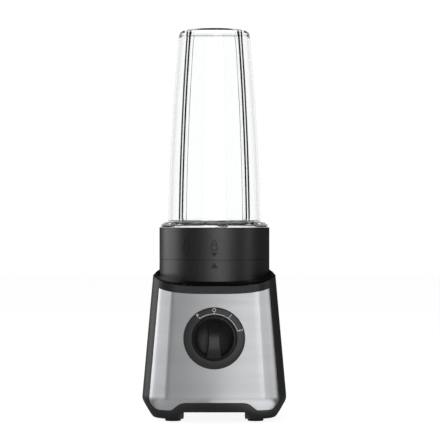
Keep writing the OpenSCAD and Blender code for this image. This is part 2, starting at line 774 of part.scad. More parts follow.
module motor_shaft() {
    color([0.8, 0.8, 0.82]) translate([0, 0, shaft_bottom])
        cylinder(r = shaft_r, h = shaft_top - shaft_bottom);
}
slots = 12;
module armature_core() {
    color([0.4, 0.4, 0.42]) translate([0, 0, stator_z]) difference() {
        cylinder(r = armature_r, h = stator_h);
        translate([0, 0, -1]) cylinder(r = shaft_r + 0.01, h = stator_h + 2);
        for (i = [0:slots - 1]) rotate([0, 0, i * 360 / slots])
            translate([armature_r - 4, -0.8, -1]) cube([5, 1.6, stator_h + 2]);
    }
}
winding_h = 7;
module armature_winding() {
    color([0.75, 0.4, 0.2]) for (z = [stator_z - winding_h - 0.02, stator_z + stator_h + 0.02])
        translate([0, 0, z]) rotate_extrude()
            polygon([[shaft_r + 0.02, 0], [armature_r - 5, 0], [armature_r - 2.4, winding_h * 0.3],
                     [armature_r - 2.4, winding_h * 0.7], [armature_r - 5, winding_h],
                     [shaft_r + 0.02, winding_h]]);
}
module commutator() {
    color([0.8, 0.5, 0.3]) translate([0, 0, commutator_z]) difference() {
        cylinder(r = commutator_r, h = commutator_h);
        translate([0, 0, -1]) cylinder(r = shaft_r + 0.01, h = commutator_h + 2);
        for (i = [0:slots - 1]) rotate([0, 0, i * 360 / slots])
            translate([commutator_r - 1, -0.3, -1]) cube([2, 0.6, commutator_h + 2]);
    }
}
blades_in_fan = 9;
module cooling_fan() {
    color([0.9, 0.9, 0.88]) translate([0, 0, fan_z]) difference() {
        union() {
            cylinder(r = fan_r, h = 1.4);
            cylinder(r = shaft_r + 3, h = 7);
            for (i = [0:blades_in_fan - 1]) rotate([0, 0, i * 360 / blades_in_fan])
                translate([shaft_r + 2, -0.7, 0]) cube([fan_r - shaft_r - 3, 1.4, 7]);
        }
        translate([0, 0, -1]) cylinder(r = shaft_r + 0.01, h = 10);
    }
}
dogs = 6;
dog_r = 3.4;
dog_reach = coupling_r - 4.4;
module drive_coupling() {
    color([0.12, 0.12, 0.12]) translate([0, 0, drive_z]) difference() {
        union() {
            cylinder(r = coupling_r, h = drive_disc_t);
            for (i = [0:dogs / 2 - 1]) rotate([0, 0, i * 720 / dogs])
                translate([dog_reach, 0, drive_disc_t - 0.5]) cylinder(r = dog_r, h = dog_h + 0.5);
        }
        translate([0, 0, -1]) cylinder(r = shaft_r + 0.01, h = drive_disc_t);
    }
}
module shaft_slinger() {
    color([0.2, 0.2, 0.2]) translate([0, 0, socket_under + 0.2])
        ring(drip_r - fit, shaft_r + 0.02, 2.6);
}

// ---- wiring inside the base ---------------------------------------------------------------------
// Place of a point on the sloping front, for the wires' ends at the switch.
function on_front(x, y, depth) = [
    x,
    -half(dial_z) + y * sin(lean) + depth * cos(lean),
    dial_z + y * cos(lean) - depth * sin(lean)
];
function switch_tag(x, y) = on_front(x, y, switch_d - switch_in + terminal_l + wire_r + 0.1);
block_z = inlet_z - 10;
block_x = foot_x - 11.5;
module terminal_block() {
    color([0.9, 0.88, 0.8]) translate([block_x - 8, block_front, block_z]) difference() {
        cube([16, 11, 9]);
        for (x = [4, 12]) translate([x, -1, 5]) rotate([-90, 0, 0]) cylinder(r = 1.4, h = 6);
    }
}
block_front = half(block_z) - wall - 12.5;
block_mouth = block_front - 0.1;
// Where a field coil's lead starts, on the left or right side.
function coil_foot(side) = [side * (coil_x - 2), -12, stator_z - coil_over - wire_r - 0.1];
wire_r = 0.9;
wire_x = hip_h - 18;                         // the two mains wires pass the motor this far out
wire_z = bracket_z - 12;                     // and cross the front under the top bracket
wire_paths = [
    [switch_tag(-8, 8), [-12, -31, wire_z], [-24, -33, wire_z], [7 - wire_x, -34, wire_z - 10],
     [1 - wire_x, -24, 56], [-wire_x, 0, 46], [3 - wire_x, 22, 40], [-30, 36, 36], [-10, 38, 32],
     [8, foot_y - 4, 27], [block_x - 4, foot_y - 8, block_z + 5], [block_x - 4, block_mouth, block_z + 5]],
    [switch_tag(8, 8), [12, -31, wire_z], [24, -33, wire_z], [wire_x - 7, -34, wire_z - 10],
     [wire_x - 1, -24, 56], [wire_x, 0, 44], [wire_x - 3, 22, 34], [block_x + 8, foot_y - 8, block_z + 6],
     [block_x + 4, foot_y - 5, block_z + 5], [block_x + 4, block_mouth, block_z + 5]],
    [switch_tag(-8, -8), [-14, -33, 52], [-26, -28, 43], [-27, -21, 40], [-23, -15, 41], coil_foot(-1)],
    [switch_tag(8, -8), [14, -33, 52], [26, -28, 43], [27, -21, 40], [23, -15, 41], coil_foot(1)]
];
module inner_wiring() {
    color([0.8, 0.15, 0.1]) for (p = wire_paths) tube(p, wire_r);
}

// ---- blade cartridge ---------------------------------------------------------------------------
cart_r = 12;
cart_flange_r = 17;
cart_flange_t = 3;
cart_low = driven_z + driven_t + 1.2;
cart_top = floor_top + 7;
bush_r = blade_shaft_r + 3;
bush_h = 6;
seal_t = 2.6;
module blade_cartridge() {
    color([0.72, 0.73, 0.74]) difference() {
        union() {
            translate([0, 0, cart_low]) cylinder(r = cart_r, h = floor_top - cart_low + 1);
            translate([0, 0, floor_top + snug])
                cylinder(r1 = cart_flange_r, r2 = cart_flange_r - 2, h = cart_flange_t);
            translate([0, 0, floor_top + cart_flange_t])
                cylinder(r1 = cart_r, r2 = bush_r + 2, h = cart_top - floor_top - cart_flange_t);
        }
        translate([0, 0, cart_low - 1]) cylinder(r = bush_r, h = cart_top - cart_low + 2);
    }
}
nut_t = 4;
module cartridge_nut() {
    color([0.65, 0.65, 0.67]) translate([0, 0, floor_z - nut_t - fit / 3]) difference() {
        cylinder(r = cart_r + 5, h = nut_t, $fn = 6);
        translate([0, 0, -1]) cylinder(r = cart_r + 0.02, h = nut_t + 2);
    }
}
module blade_bushes() {
    color([0.7, 0.55, 0.3]) for (z = [cart_low, cart_top - seal_t - 0.4 - bush_h])
        translate([0, 0, z]) ring(bush_r - 0.02, blade_shaft_r + run, bush_h);
}
module blade_seal() {
    color([0.1, 0.1, 0.1]) translate([0, 0, cart_top - seal_t - 0.3])
        ring(bush_r - 0.02, blade_shaft_r + run, seal_t);
}
blade_z = cart_top + 1;
stack = blade_t * 2 + 3;
module blade_shaft() {
    color([0.8, 0.8, 0.82]) translate([0, 0, driven_z + 1])
        cylinder(r = blade_shaft_r, h = blade_z + stack + 2 - driven_z - 1);
}
module driven_coupling() {
    color([0.12, 0.12, 0.12]) translate([0, 0, driven_z]) difference() {
        union() {
            cylinder(r = coupling_r - 0.5, h = driven_t);
            for (i = [0:dogs / 2 - 1]) rotate([0, 0, (i + 0.5) * 720 / dogs])
                translate([dog_reach, 0, -dog_h]) cylinder(r = dog_r, h = dog_h + 0.5);
        }
        translate([0, 0, 0.9]) cylinder(r = blade_shaft_r + 0.01, h = driven_t);
    }
}
// One wing: a flat root, a bend at bend_x, and a tip that tapers to a point.
bend_x = 12;
wing_w = 11;
module wing(reach, angle) {
    tip = reach - bend_x;
    w = wing_w / 2;
    linear_extrude(height = blade_t) polygon([[0, -w], [bend_x, -w], [bend_x, w], [0, w]]);
    translate([bend_x, 0, 0]) rotate([0, -angle, 0]) translate([-0.3, 0, 0])
        linear_extrude(height = blade_t)
            polygon([[0, -w], [tip * 0.6, -w], [tip, w * 0.2], [tip, w], [0, w]]);
}
module blade(reach, angle) {
    difference() {
        for (a = [0, 180]) rotate([0, 0, a]) wing(reach, angle);
        translate([0, 0, -1]) cylinder(r = blade_shaft_r + 0.02, h = blade_t + 2);
    }
}
module blade_lower() {
    color([0.8, 0.8, 0.82]) translate([0, 0, blade_z + 1]) rotate([0, 0, 20]) blade(blade_reach, 12);
}
module blade_upper() {
    color([0.8, 0.8, 0.82]) translate([0, 0, blade_z + 2 + blade_t]) rotate([0, 0, 110])
        blade(blade_reach - 3, 48);
}
module blade_washers() {
    color([0.75, 0.75, 0.77]) for (z = [blade_z + 0.05, blade_z + 1 + blade_t + 0.02])
        translate([0, 0, z]) ring(blade_shaft_r + 3.4, blade_shaft_r + 0.02, 0.93);
}
module blade_nut() {
    z = blade_z + 2 + blade_t * 2 + 0.02;
    color([0.8, 0.8, 0.82]) translate([0, 0, z]) difference() {
        union() {
            cylinder(r = blade_shaft_r + 3.4, h = 3.4, $fn = 6);
            translate([0, 0, 3]) cylinder(r1 = blade_shaft_r + 2.2, r2 = blade_shaft_r, h = 2.6);
        }
        translate([0, 0, -1]) cylinder(r = blade_shaft_r + 0.02, h = 4.6);
    }
}

// ---- collar and cup ----------------------------------------------------------------------------
starts = 4;
thread_lead = 24;
thread_sweep = 75;
thread_h = 2.2;
thread_gap = thread_lead / starts / 2 + 0.4;    // how far the collar's threads lie above the cup's
thread_steps = 12;
thread_bore = ring_r - 4.9;                  // the collar's bore between its threads
cup_mouth_r = ring_r - cup_in;               // outer radius of the cup where it leaves its flange
cup_end_r = cup_mouth_r - cup_taper;         // outer radius near its closed end
neck_r = cup_mouth_r - 0.2;
// A thread ridge of trapezium section that climbs from z0, from radius root to radius crest.
module ridge(root, crest, z0, start) {
    side = crest > root ? 1 : -1;
    foot = root - side * 0.4;
    section = [[foot, 0], [foot, thread_h], [crest, thread_h * 0.68], [crest, thread_h * 0.32]];
    ordered = side > 0 ? section : [section[3], section[2], section[1], section[0]];
    skin([
        for (i = [0:thread_steps]) let (
            a = start + thread_sweep * i / thread_steps,
            rise = thread_lead * thread_sweep * i / thread_steps / 360
        ) [for (p = ordered) [p[0] * cos(a), p[0] * sin(a), z0 + rise + p[1]]]
    ]);
}
thread_z = floor_top + 4.6;
module collar() {
    outer = ring_r;
    color([0.17, 0.17, 0.18]) {
        difference() {
            union() {
                translate([0, 0, collar_bottom]) cylinder(r = outer, h = collar_top - collar_bottom);
                translate([0, 0, spigot_z]) cylinder(r = spigot_r, h = collar_bottom - spigot_z + 1);
                for (i = [0:lugs - 1]) translate([0, 0, lug_z])
                    arc_ring(lug_r, spigot_r - 1, lug_t, lug_start + i * 360 / lugs - lug_arc / 2,
                        lug_start + i * 360 / lugs + lug_arc / 2);
            }
            translate([0, 0, floor_top]) cylinder(r = thread_bore, h = collar_h);
            translate([0, 0, spigot_z - 1]) cylinder(r = spigot_r - spigot_wall, h = floor_z - spigot_z + 1);
            translate([0, 0, floor_z - 1]) cylinder(r = cart_r + run, h = floor_t + 2);
            translate([0, 0, collar_bottom - 1]) ring(outer - 2.2, spigot_r + 0.8, collar_h - 6);
        }
        for (k = [0:starts - 1])
            ridge(thread_bore, thread_bore - 1.7, thread_z + thread_gap, k * 360 / starts);
        cam();
        translate([0, 0, collar_bottom + 2]) for (a = [15:30:345]) rotate([0, 0, a])
            translate([spigot_r + 0.4, -0.8, 0]) cube([outer - 1.5 - spigot_r - 0.4, 1.6, collar_h - 10]);
    }
}
// A sloping rib inside the spigot. It holds the interlock pin down while the jar is locked, and lets
// it rise evenly as the jar turns free.
cam_mid = pin_angle - lock_turn / 2;
module cam() {
    inner = pin_reach - pin_r - 0.4;
    slope = atan(pin_travel / (lock_turn * PI / 180 * pin_reach));
    intersection() {
        translate([0, 0, spigot_z]) arc_ring(spigot_r - spigot_wall + 0.5, inner, 7,
            cam_mid - lock_turn / 2 - 5, cam_mid + lock_turn / 2 + 5);
        rotate([0, 0, cam_mid]) translate([0, 0, cam_low + pin_travel / 2]) rotate([-slope, 0, 0])
            translate([0, -40, 0]) cube([60, 80, 20]);
    }
}
gasket_r = thread_bore - 0.3;
gasket_t = 2.6;
module cup_gasket() {
    color([0.85, 0.85, 0.86]) translate([0, 0, floor_top + snug])
        ring(gasket_r, cup_mouth_r - cup_wall - 1.4, gasket_t - 0.2);
}
neck_z = floor_top + gasket_t + 0.2;
flange_z = collar_top + fit;
flange_r = ring_r - 1.2;
flange_t = 4;
flutes = 4;
flute_steps = 8;
gap_steps = 7;
cup_start = collar_top + 2;                  // the fluted wall begins inside the flange
cup_run = cup_total - 5 - cup_start;
// Radius of the cup's outside at a height.
function cup_r(z) = let (t = max(0, (z - cup_start) / cup_run))
    cup_mouth_r - (cup_mouth_r - cup_end_r) * (0.3 * t + 0.7 * t * t);
// A ring of points at height z with the flutes pressed in.
function cup_ring(r, z, half_w) = [
    for (q = [0:flutes - 1]) each concat(
        let (w = half_w / r * 180 / PI)
            [for (i = [0:flute_steps]) let (
                s = i / flute_steps * 2 - 1, a = q * 360 / flutes + 45 + w * s,
                d = r - flute_d * pow(cos(90 * s), 2)
            ) [d * cos(a), d * sin(a), z]],
        let (w = half_w / r * 180 / PI, free = 360 / flutes - 2 * w)
            [for (i = [1:gap_steps]) let (a = q * 360 / flutes + 45 + w + free * i / (gap_steps + 1))
                [r * cos(a), r * sin(a), z]]
    )
];
cup_levels = 8;
module cup_outside() {
    skin(concat(
        [for (i = [0:cup_levels]) let (z = cup_start + cup_run * i / cup_levels)
            cup_ring(cup_r(z), z, flute_w)],
        [cup_ring(cup_end_r - 1.5, cup_total - 1.6, flute_w),
         cup_ring(cup_end_r - 5, cup_total, flute_w)]
    ));
}
module cup_inside() {
    top = cup_total - cup_floor;
    skin(concat(
        [cup_ring(cup_r(cup_start) - cup_wall, cup_start - 3, flute_w + 1)],
        [for (i = [0:cup_levels]) let (z = cup_start + (top - 4 - cup_start) * i / cup_levels)
            cup_ring(cup_r(z) - cup_wall, z, flute_w + 1)],
        [cup_ring(cup_end_r - cup_wall - 1.4, top - 1.2, flute_w + 1),
         cup_ring(cup_end_r - cup_wall - 5, top, flute_w + 1)]
    ));
}
module cup() {
    bore = cup_mouth_r - cup_wall + 0.4;
    color([0.85, 0.92, 0.95, 0.35]) {
        difference() {
            union() {
                cup_outside();
                translate([0, 0, flange_z]) cylinder(r = flange_r, h = 1);
                translate([0, 0, flange_z + 1])
                    cylinder(r1 = flange_r, r2 = cup_mouth_r + 1.6, h = flange_t - 1);
                translate([0, 0, neck_z]) cylinder(r = neck_r, h = flange_z - neck_z + 1);
            }
            cup_inside();
            translate([0, 0, neck_z - 1]) cylinder(r = bore, h = cup_start - neck_z - 0.6);
        }
        for (k = [0:starts - 1]) ridge(neck_r, neck_r + 1.8, thread_z, k * 360 / starts);
    }
}

// ---- the assembly ------------------------------------------------------------------------------
housing();
front_plate();
dial_ring();
top_cover();
jar_socket();
bottom_cover();
feet();
bottom_screws();
socket_screws();
inlet_bush();
rear_vent();
knob();
switch_spindle();
rotary_switch();
switch_nut();
switch_terminals();
terminal_block();
interlock_pin();
interlock_spring();
micro_switch();
motor_bracket_top();
motor_bracket_bottom();
motor_dampers();
motor_screws();
stator_core();
field_coils();
brush_holders();
carbon_brushes();
bearing_top();
bearing_bottom();
motor_shaft();
armature_core();
armature_winding();
commutator();
cooling_fan();
drive_coupling();
shaft_slinger();
inner_wiring();
blade_cartridge();
cartridge_nut();
blade_bushes();
blade_seal();
blade_shaft();
driven_coupling();
blade_lower();
blade_upper();
blade_washers();
blade_nut();
collar();
cup_gasket();
cup();
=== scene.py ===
import math

import bmesh
import bpy
from mathutils import Matrix, Vector


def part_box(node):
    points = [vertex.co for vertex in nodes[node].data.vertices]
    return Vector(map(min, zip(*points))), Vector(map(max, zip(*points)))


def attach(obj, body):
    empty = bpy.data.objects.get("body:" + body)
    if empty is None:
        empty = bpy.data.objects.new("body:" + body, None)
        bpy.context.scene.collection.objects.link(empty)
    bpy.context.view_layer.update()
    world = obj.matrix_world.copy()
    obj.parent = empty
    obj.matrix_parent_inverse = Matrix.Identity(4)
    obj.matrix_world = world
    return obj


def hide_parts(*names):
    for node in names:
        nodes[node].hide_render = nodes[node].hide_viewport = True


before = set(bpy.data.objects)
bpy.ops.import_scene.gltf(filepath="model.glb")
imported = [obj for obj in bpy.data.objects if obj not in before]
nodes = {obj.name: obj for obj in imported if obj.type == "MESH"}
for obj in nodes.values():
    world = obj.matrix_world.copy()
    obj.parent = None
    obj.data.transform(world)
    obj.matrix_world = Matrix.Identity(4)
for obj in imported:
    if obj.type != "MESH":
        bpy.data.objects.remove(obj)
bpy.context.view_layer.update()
MM = 0.001  # sizes are written in mm, and the meshes are in metres


# ---- The studio ----
# A level camera in front of the blender, a wide pale floor and plain softboxes on the left, in front,
# on the right and overhead. The steel, the black plastic and the cup also have cards of their own, and
# the room is dim where it is mirrored.
camera_aside, camera_distance, camera_height = 0.0049, 1.7, 0.1725
eye = bpy.data.cameras.new("eye")
eye.lens = 158.0
eye.sensor_width = 36.0
camera = bpy.data.objects.new("eye", eye)
camera.location = (camera_aside, -camera_distance, camera_height)
camera.rotation_euler = (math.radians(90), 0, 0)
bpy.context.scene.collection.objects.link(camera)
bpy.context.scene.camera = camera

# The groups of pieces that a light can be kept to. The last leaves out the cup alone.
steel_only = bpy.data.collections.new("steel_only")
base_only = bpy.data.collections.new("base_only")
ring_only = bpy.data.collections.new("ring_only")
cup_only = bpy.data.collections.new("cup_only")
not_cup = bpy.data.collections.new("not_cup")


def softbox(name, azimuth, distance, height, wide, tall, power, receivers=None, aim_height=0.17):
    """An area light aimed at the blender's axis, in metres and watts. Azimuth 0 is in front and 90 on
    the right. With receivers it lights those pieces alone, as a card held close to them would."""
    lamp = bpy.data.lights.new(name, "AREA")
    lamp.shape = "RECTANGLE"
    lamp.size, lamp.size_y = wide, tall
    lamp.energy = power
    box = bpy.data.objects.new(name, lamp)
    turn = math.radians(azimuth)
    box.location = (distance * math.sin(turn), -distance * math.cos(turn), height)
    aim = Vector((0, 0, aim_height)) - box.location
    box.rotation_euler = aim.to_track_quat("-Z", "Y").to_euler()
    box.visible_camera = False
    if receivers:
        box.light_linking.receiver_collection = receivers
    bpy.context.scene.collection.objects.link(box)
    return box


softbox("left_softbox", -104, 1.0, 0.30, 0.95, 1.3, 7, not_cup)
softbox("front_left_softbox", -13.5, 1.9, 0.55, 0.88, 1.6, 1.9)
softbox("front_right_softbox", 13, 1.9, 0.55, 0.88, 1.6, 7.9)
softbox("right_softbox", 74, 1.9, 0.45, 0.6, 1.3, 3, not_cup)
softbox("top_softbox", 180, 0.35, 1.35, 1.0, 0.8, 2.5).visible_glossy = False
softbox("left_card", -52.4, 1.2, 0.30, 1.33, 1.6, 7.4, steel_only)
softbox("right_card", 45, 1.2, 0.30, 0.9, 1.6, 4.8, steel_only)
straight_up = 10
softbox("foot_left_card", -24, 0.095, 0.002, 0.076, 0.05, 0.0036, base_only, straight_up)
softbox("foot_right_card", 24, 0.095, 0.002, 0.076, 0.05, 0.0125, base_only, straight_up)
softbox("ring_card", -13.5, 1.9, 0.55, 0.88, 1.6, 4, ring_only)
softbox("wide_ring_card", 14, 1.9, 0.55, 2.0, 1.6, 9, ring_only)
softbox("cup_card", 180, 1.5, 0.30, 2.2, 1.8, 12.5, cup_only).visible_transmission = False

world = bpy.data.worlds.new("dim_room")
bpy.context.scene.world = world
world.use_nodes = True
room = world.node_tree
room.nodes.remove(room.nodes["Background"])


def wall(strength):
    """A white wall of the room, of some brightness."""
    paint = room.nodes.new("ShaderNodeBackground")
    paint.inputs["Color"].default_value = (1, 1, 1, 1)
    paint.inputs["Strength"].default_value = strength
    return paint.outputs["Background"]


def choose(share, unless, when):
    """One of two walls, by the kind of ray that meets it."""
    mix = room.nodes.new("ShaderNodeMixShader")
    room.links.new(share, mix.inputs["Fac"])
    room.links.new(unless, mix.inputs[1])
    room.links.new(when, mix.inputs[2])
    return mix.outputs["Shader"]


seen_wall, fill_wall, mirrored_wall = wall(1.05), wall(0.3), wall(0.025)
rays = room.nodes.new("ShaderNodeLightPath")
seen = room.nodes.new("ShaderNodeMath")
seen.operation = "MAXIMUM"
room.links.new(rays.outputs["Is Camera Ray"], seen.inputs[0])
room.links.new(rays.outputs["Is Transmission Ray"], seen.inputs[1])
unseen_wall = choose(rays.outputs["Is Glossy Ray"], fill_wall, mirrored_wall)
room.links.new(choose(seen.outputs["Value"], unseen_wall, seen_wall),
               room.nodes["World Output"].inputs["Surface"])
bpy.context.scene.view_settings.view_transform = "Standard"
patch_size = 18  # a finish's patches of colour are as many times larger than its grain


def finish_of(name, colour, rough, spread=0.06, grain=700, depth=0.02, stretch=(1, 1, 1), metal=0.0,
              uneven=0.15):
    """A finish with fine grain: its colour, roughness and surface vary over the piece. The grain's
    depth is in mm."""
    made = bpy.data.materials.new(name)
    made.use_nodes = True
    tree = made.node_tree
    shader = tree.nodes["Principled BSDF"]
    shader.inputs["Metallic"].default_value = metal
    place = tree.nodes.new("ShaderNodeTexCoord")
    scale = tree.nodes.new("ShaderNodeMapping")
    scale.inputs["Scale"].default_value = stretch
    tree.links.new(place.outputs["Object"], scale.inputs["Vector"])
    fine = tree.nodes.new("ShaderNodeTexNoise")
    fine.inputs["Scale"].default_value = grain
    fine.inputs["Detail"].default_value = 3
    broad = tree.nodes.new("ShaderNodeTexNoise")
    broad.inputs["Scale"].default_value = grain / patch_size
    tree.links.new(scale.outputs["Vector"], fine.inputs["Vector"])
    tree.links.new(scale.outputs["Vector"], broad.inputs["Vector"])
    tint = tree.nodes.new("ShaderNodeMix")
    tint.data_type = "RGBA"
    tint.inputs[6].default_value = (*[c * (1 - spread) for c in colour], 1)
    tint.inputs[7].default_value = (*[min(1, c * (1 + spread)) for c in colour], 1)
    tree.links.new(broad.outputs["Fac"], tint.inputs[0])
    tree.links.new(tint.outputs[2], shader.inputs["Base Color"])
    polish = tree.nodes.new("ShaderNodeMapRange")
    polish.inputs["From Min"].default_value = 0.3
    polish.inputs["From Max"].default_value = 0.7
    polish.inputs["To Min"].default_value = rough * (1 - uneven)
    polish.inputs["To Max"].default_value = min(1, rough * (1 + uneven))
    tree.links.new(fine.outputs["Fac"], polish.inputs["Value"])
    tree.links.new(polish.outputs["Result"], shader.inputs["Roughness"])
    relief = tree.nodes.new("ShaderNodeBump")
    relief.inputs["Distance"].default_value = depth * MM
    tree.links.new(fine.outputs["Fac"], relief.inputs["Height"])
    tree.links.new(relief.outputs["Normal"], shader.inputs["Normal"])
    return made


def adjust(material, name, value):
    """Sets one of the finish's own values, such as its gloss."""
    material.node_tree.nodes["Principled BSDF"].inputs[name].default_value = value


floor_size = 9.0
bpy.ops.object.select_all(action="DESELECT")
bpy.ops.mesh.primitive_plane_add(size=floor_size)
floor = bpy.context.object
floor.name = "floor"
floor_paint = finish_of("pale_floor", (0.3, 0.3, 0.3), 0.85, spread=0.01, grain=30, depth=0.1)
adjust(floor_paint, "Specular IOR Level", 0.1)
adjust(floor_paint, "Emission Color", (1, 1, 1, 1))
floor_nodes = floor_paint.node_tree
floor_rays = floor_nodes.nodes.new("ShaderNodeLightPath")
floor_glow = floor_nodes.nodes.new("ShaderNodeMapRange")
floor_glow.inputs["To Min"].default_value = 0.9
floor_glow.inputs["To Max"].default_value = 0.0
mirrored_only = floor_nodes.nodes.new("ShaderNodeMath")
mirrored_only.operation = "SUBTRACT"
floor_nodes.links.new(floor_rays.outputs["Is Glossy Ray"], mirrored_only.inputs[0])
floor_nodes.links.new(floor_rays.outputs["Is Transmission Ray"], mirrored_only.inputs[1])
floor_nodes.links.new(mirrored_only.outputs["Value"], floor_glow.inputs["Value"])
floor_nodes.links.new(floor_glow.outputs["Result"],
                      floor_nodes.nodes["Principled BSDF"].inputs["Emission Strength"])
floor.data.materials.append(floor_paint)


# ---- Housing ----
# The tapered shell of the base: a round-cornered square in dark textured plastic, open at the bottom
# between its four legs and closed by the gloss cover at the top. It is one injection moulding, with
# a sagging top edge and a shallow pocket in front for the steel sheet.
hip, hip_height = 62.1, 20.0
top_half, top_height = 53.0, 123.0
taper = (hip - top_half) / (top_height - hip_height)
lean = math.atan(taper)
corner_share = 24.0 / hip
housing_wall = 2.6
edge_height, edge_climb, edge_reach = 115.6, 21.0, 56.0
beyond = 80


def half(height):
    """Half the width of the base at a height above its hips."""
    return hip - (height - hip_height) * taper


def climb(x, rise):
    """How far the curved top edge has risen beside the middle, at x."""
    share = min(abs(x) / edge_reach, 1)
    return rise * (1 - (1 - share ** 3) ** (1 / 3))


def begin(name):
    """Names the new primitive, puts its place in its mesh and opens it in edit mode."""
    part = bpy.context.object
    part.name = part.data.name = name
    bpy.ops.object.transform_apply(location=True, rotation=True, scale=True)
    bpy.ops.object.mode_set(mode="EDIT")
    bpy.ops.mesh.select_mode(type="VERT")
    bpy.ops.mesh.select_all(action="SELECT")
    return part


def to_object():
    """Leaves edit mode, with nothing selected."""
    if bpy.context.mode != "OBJECT":
        bpy.ops.object.mode_set(mode="OBJECT")
    bpy.ops.object.select_all(action="DESELECT")


def work_on(part):
    """Makes the piece the only selected and active one."""
    to_object()
    part.select_set(True)
    bpy.context.view_layer.objects.active = part


def pick(part, kind, test):
    """In edit mode, selects the edges or faces whose middle, in mm, passes the test."""
    bpy.ops.mesh.select_mode(type=kind)
    bpy.ops.mesh.select_all(action="DESELECT")
    mesh = bmesh.from_edit_mesh(part.data)
    for item in mesh.edges if kind == "EDGE" else mesh.faces:
        middle = sum((v.co for v in item.verts), Vector()) / len(item.verts)
        item.select_set(bool(test(middle / MM)))
    mesh.select_flush_mode()
    bmesh.update_edit_mesh(part.data)


def face_outwards():
    """In edit mode, turns all the faces of a closed mesh outwards."""
    bpy.ops.mesh.select_all(action="SELECT")
    bpy.ops.mesh.normals_make_consistent(inside=False)


def rounded_column(name, levels, share=corner_share):
    """A column of round-cornered square section through (half width, height) levels."""
    half_0, height_0 = levels[0]
    bpy.ops.mesh.primitive_plane_add(size=2 * half_0 * MM, location=(0, 0, height_0 * MM))
    part = begin(name)
    bpy.ops.mesh.bevel(offset=half_0 * share * MM, segments=24, affect="VERTICES")
    bpy.ops.mesh.select_all(action="SELECT")
    for (half_a, height_a), (half_b, height_b) in zip(levels, levels[1:]):
        bpy.ops.mesh.extrude_region_move(
            TRANSFORM_OT_translate={"value": (0, 0, (height_b - height_a) * MM)})
        bpy.ops.transform.resize(value=(half_b / half_a, half_b / half_a, 1),
                                 center_override=(0, 0, height_b * MM))
    face_outwards()
    to_object()
    return part


def block(name, low, high):
    """A plain square cutting block between two corners, in mm."""
    middle = [(a + b) / 2 * MM for a, b in zip(low, high)]
    size = [(b - a) * MM for a, b in zip(low, high)]
    bpy.ops.mesh.primitive_cube_add(size=1, location=middle, scale=size)
    part = begin(name)
    to_object()
    return part


def rod(name, radius, length, middle, turn=(0, 0, 0), steps=96):
    """A plain round cutting rod, in mm."""
    bpy.ops.mesh.primitive_cylinder_add(vertices=steps, radius=radius * MM, depth=length * MM,
                                        location=[m * MM for m in middle], rotation=turn)
    part = begin(name)
    to_object()
    return part


def cut(part, tool, how="DIFFERENCE"):
    """Cuts the piece with another, which is then gone."""
    work_on(part)
    knife = part.modifiers.new("cut", "BOOLEAN")
    knife.operation = how
    knife.solver = "EXACT"
    knife.object = tool
    bpy.ops.object.modifier_apply(modifier=knife.name)
    bpy.data.objects.remove(tool)


def soften(part, width, segments=3, angle=32):
    """Rounds the piece's edges as a mould leaves them. Width is in mm."""
    work_on(part)
    edge = part.modifiers.new("edge", "BEVEL")
    edge.width = width * MM
    edge.segments = segments
    edge.limit_method = "ANGLE"
    edge.angle_limit = math.radians(angle)
    bpy.ops.object.modifier_apply(modifier=edge.name)


def settle(part, material, body, slot, *stands_for, smooth=38):
    """Smooths the piece's shading and hands it to its body, with its finish."""
    work_on(part)
    bpy.ops.object.shade_smooth_by_angle(angle=math.radians(smooth))
    even = part.modifiers.new("even", "WEIGHTED_NORMAL")
    even.keep_sharp = True
    bpy.ops.object.modifier_apply(modifier=even.name)
    part.data.materials.clear()
    part.data.materials.append(material)
    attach(part, body)
    if stands_for:
        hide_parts(*stands_for)


def against_front(part, height):
    """Stands a piece that was drawn lying flat against the leaning front, centred at a height in mm."""
    work_on(part)
    part.matrix_world = (Matrix.Translation((0, -half(height) * MM, height * MM))
                         @ Matrix.Rotation(math.radians(90) - lean, 4, "X"))
    bpy.ops.object.transform_apply(location=True, rotation=True, scale=True)


def trace(name, points, closed=False):
    """An outline drawn point by point: one vertex, extruded along the points, in mm."""
    bpy.ops.mesh.primitive_plane_add(size=MM)
    part = begin(name)
    bpy.ops.mesh.merge(type="CENTER")
    points = [Vector(p) * MM for p in points]
    bpy.ops.transform.translate(value=points[0])
    for here, there in zip(points, points[1:]):
        bpy.ops.mesh.extrude_vertices_move(TRANSFORM_OT_translate={"value": there - here})
    if closed:
        bpy.ops.mesh.select_all(action="SELECT")
        bpy.ops.mesh.edge_face_add()
    return part


def thicken(*along):
    """In edit mode, extrudes the outline that was just drawn into a closed solid, in mm."""
    bpy.ops.mesh.extrude_region_move(TRANSFORM_OT_translate={"value": [a * MM for a in along]})
    face_outwards()


def cutter(name, outline, across=False):
    """A cutting block with an outline drawn in the front view, or if it goes across in the side view."""
    part = trace(name, [(x, -beyond, z) for x, z in outline], closed=True)
    thicken(0, 2 * beyond, 0)
    if across:
        bpy.ops.transform.rotate(value=math.radians(90), orient_axis="Z", center_override=(0, 0, 0))
    to_object()
    return part


def mirrored(right):
    """A whole outline from its right half, which runs from the top middle to the bottom middle."""
    return right + [(-x, z) for x, z in reversed(right) if x > 0]


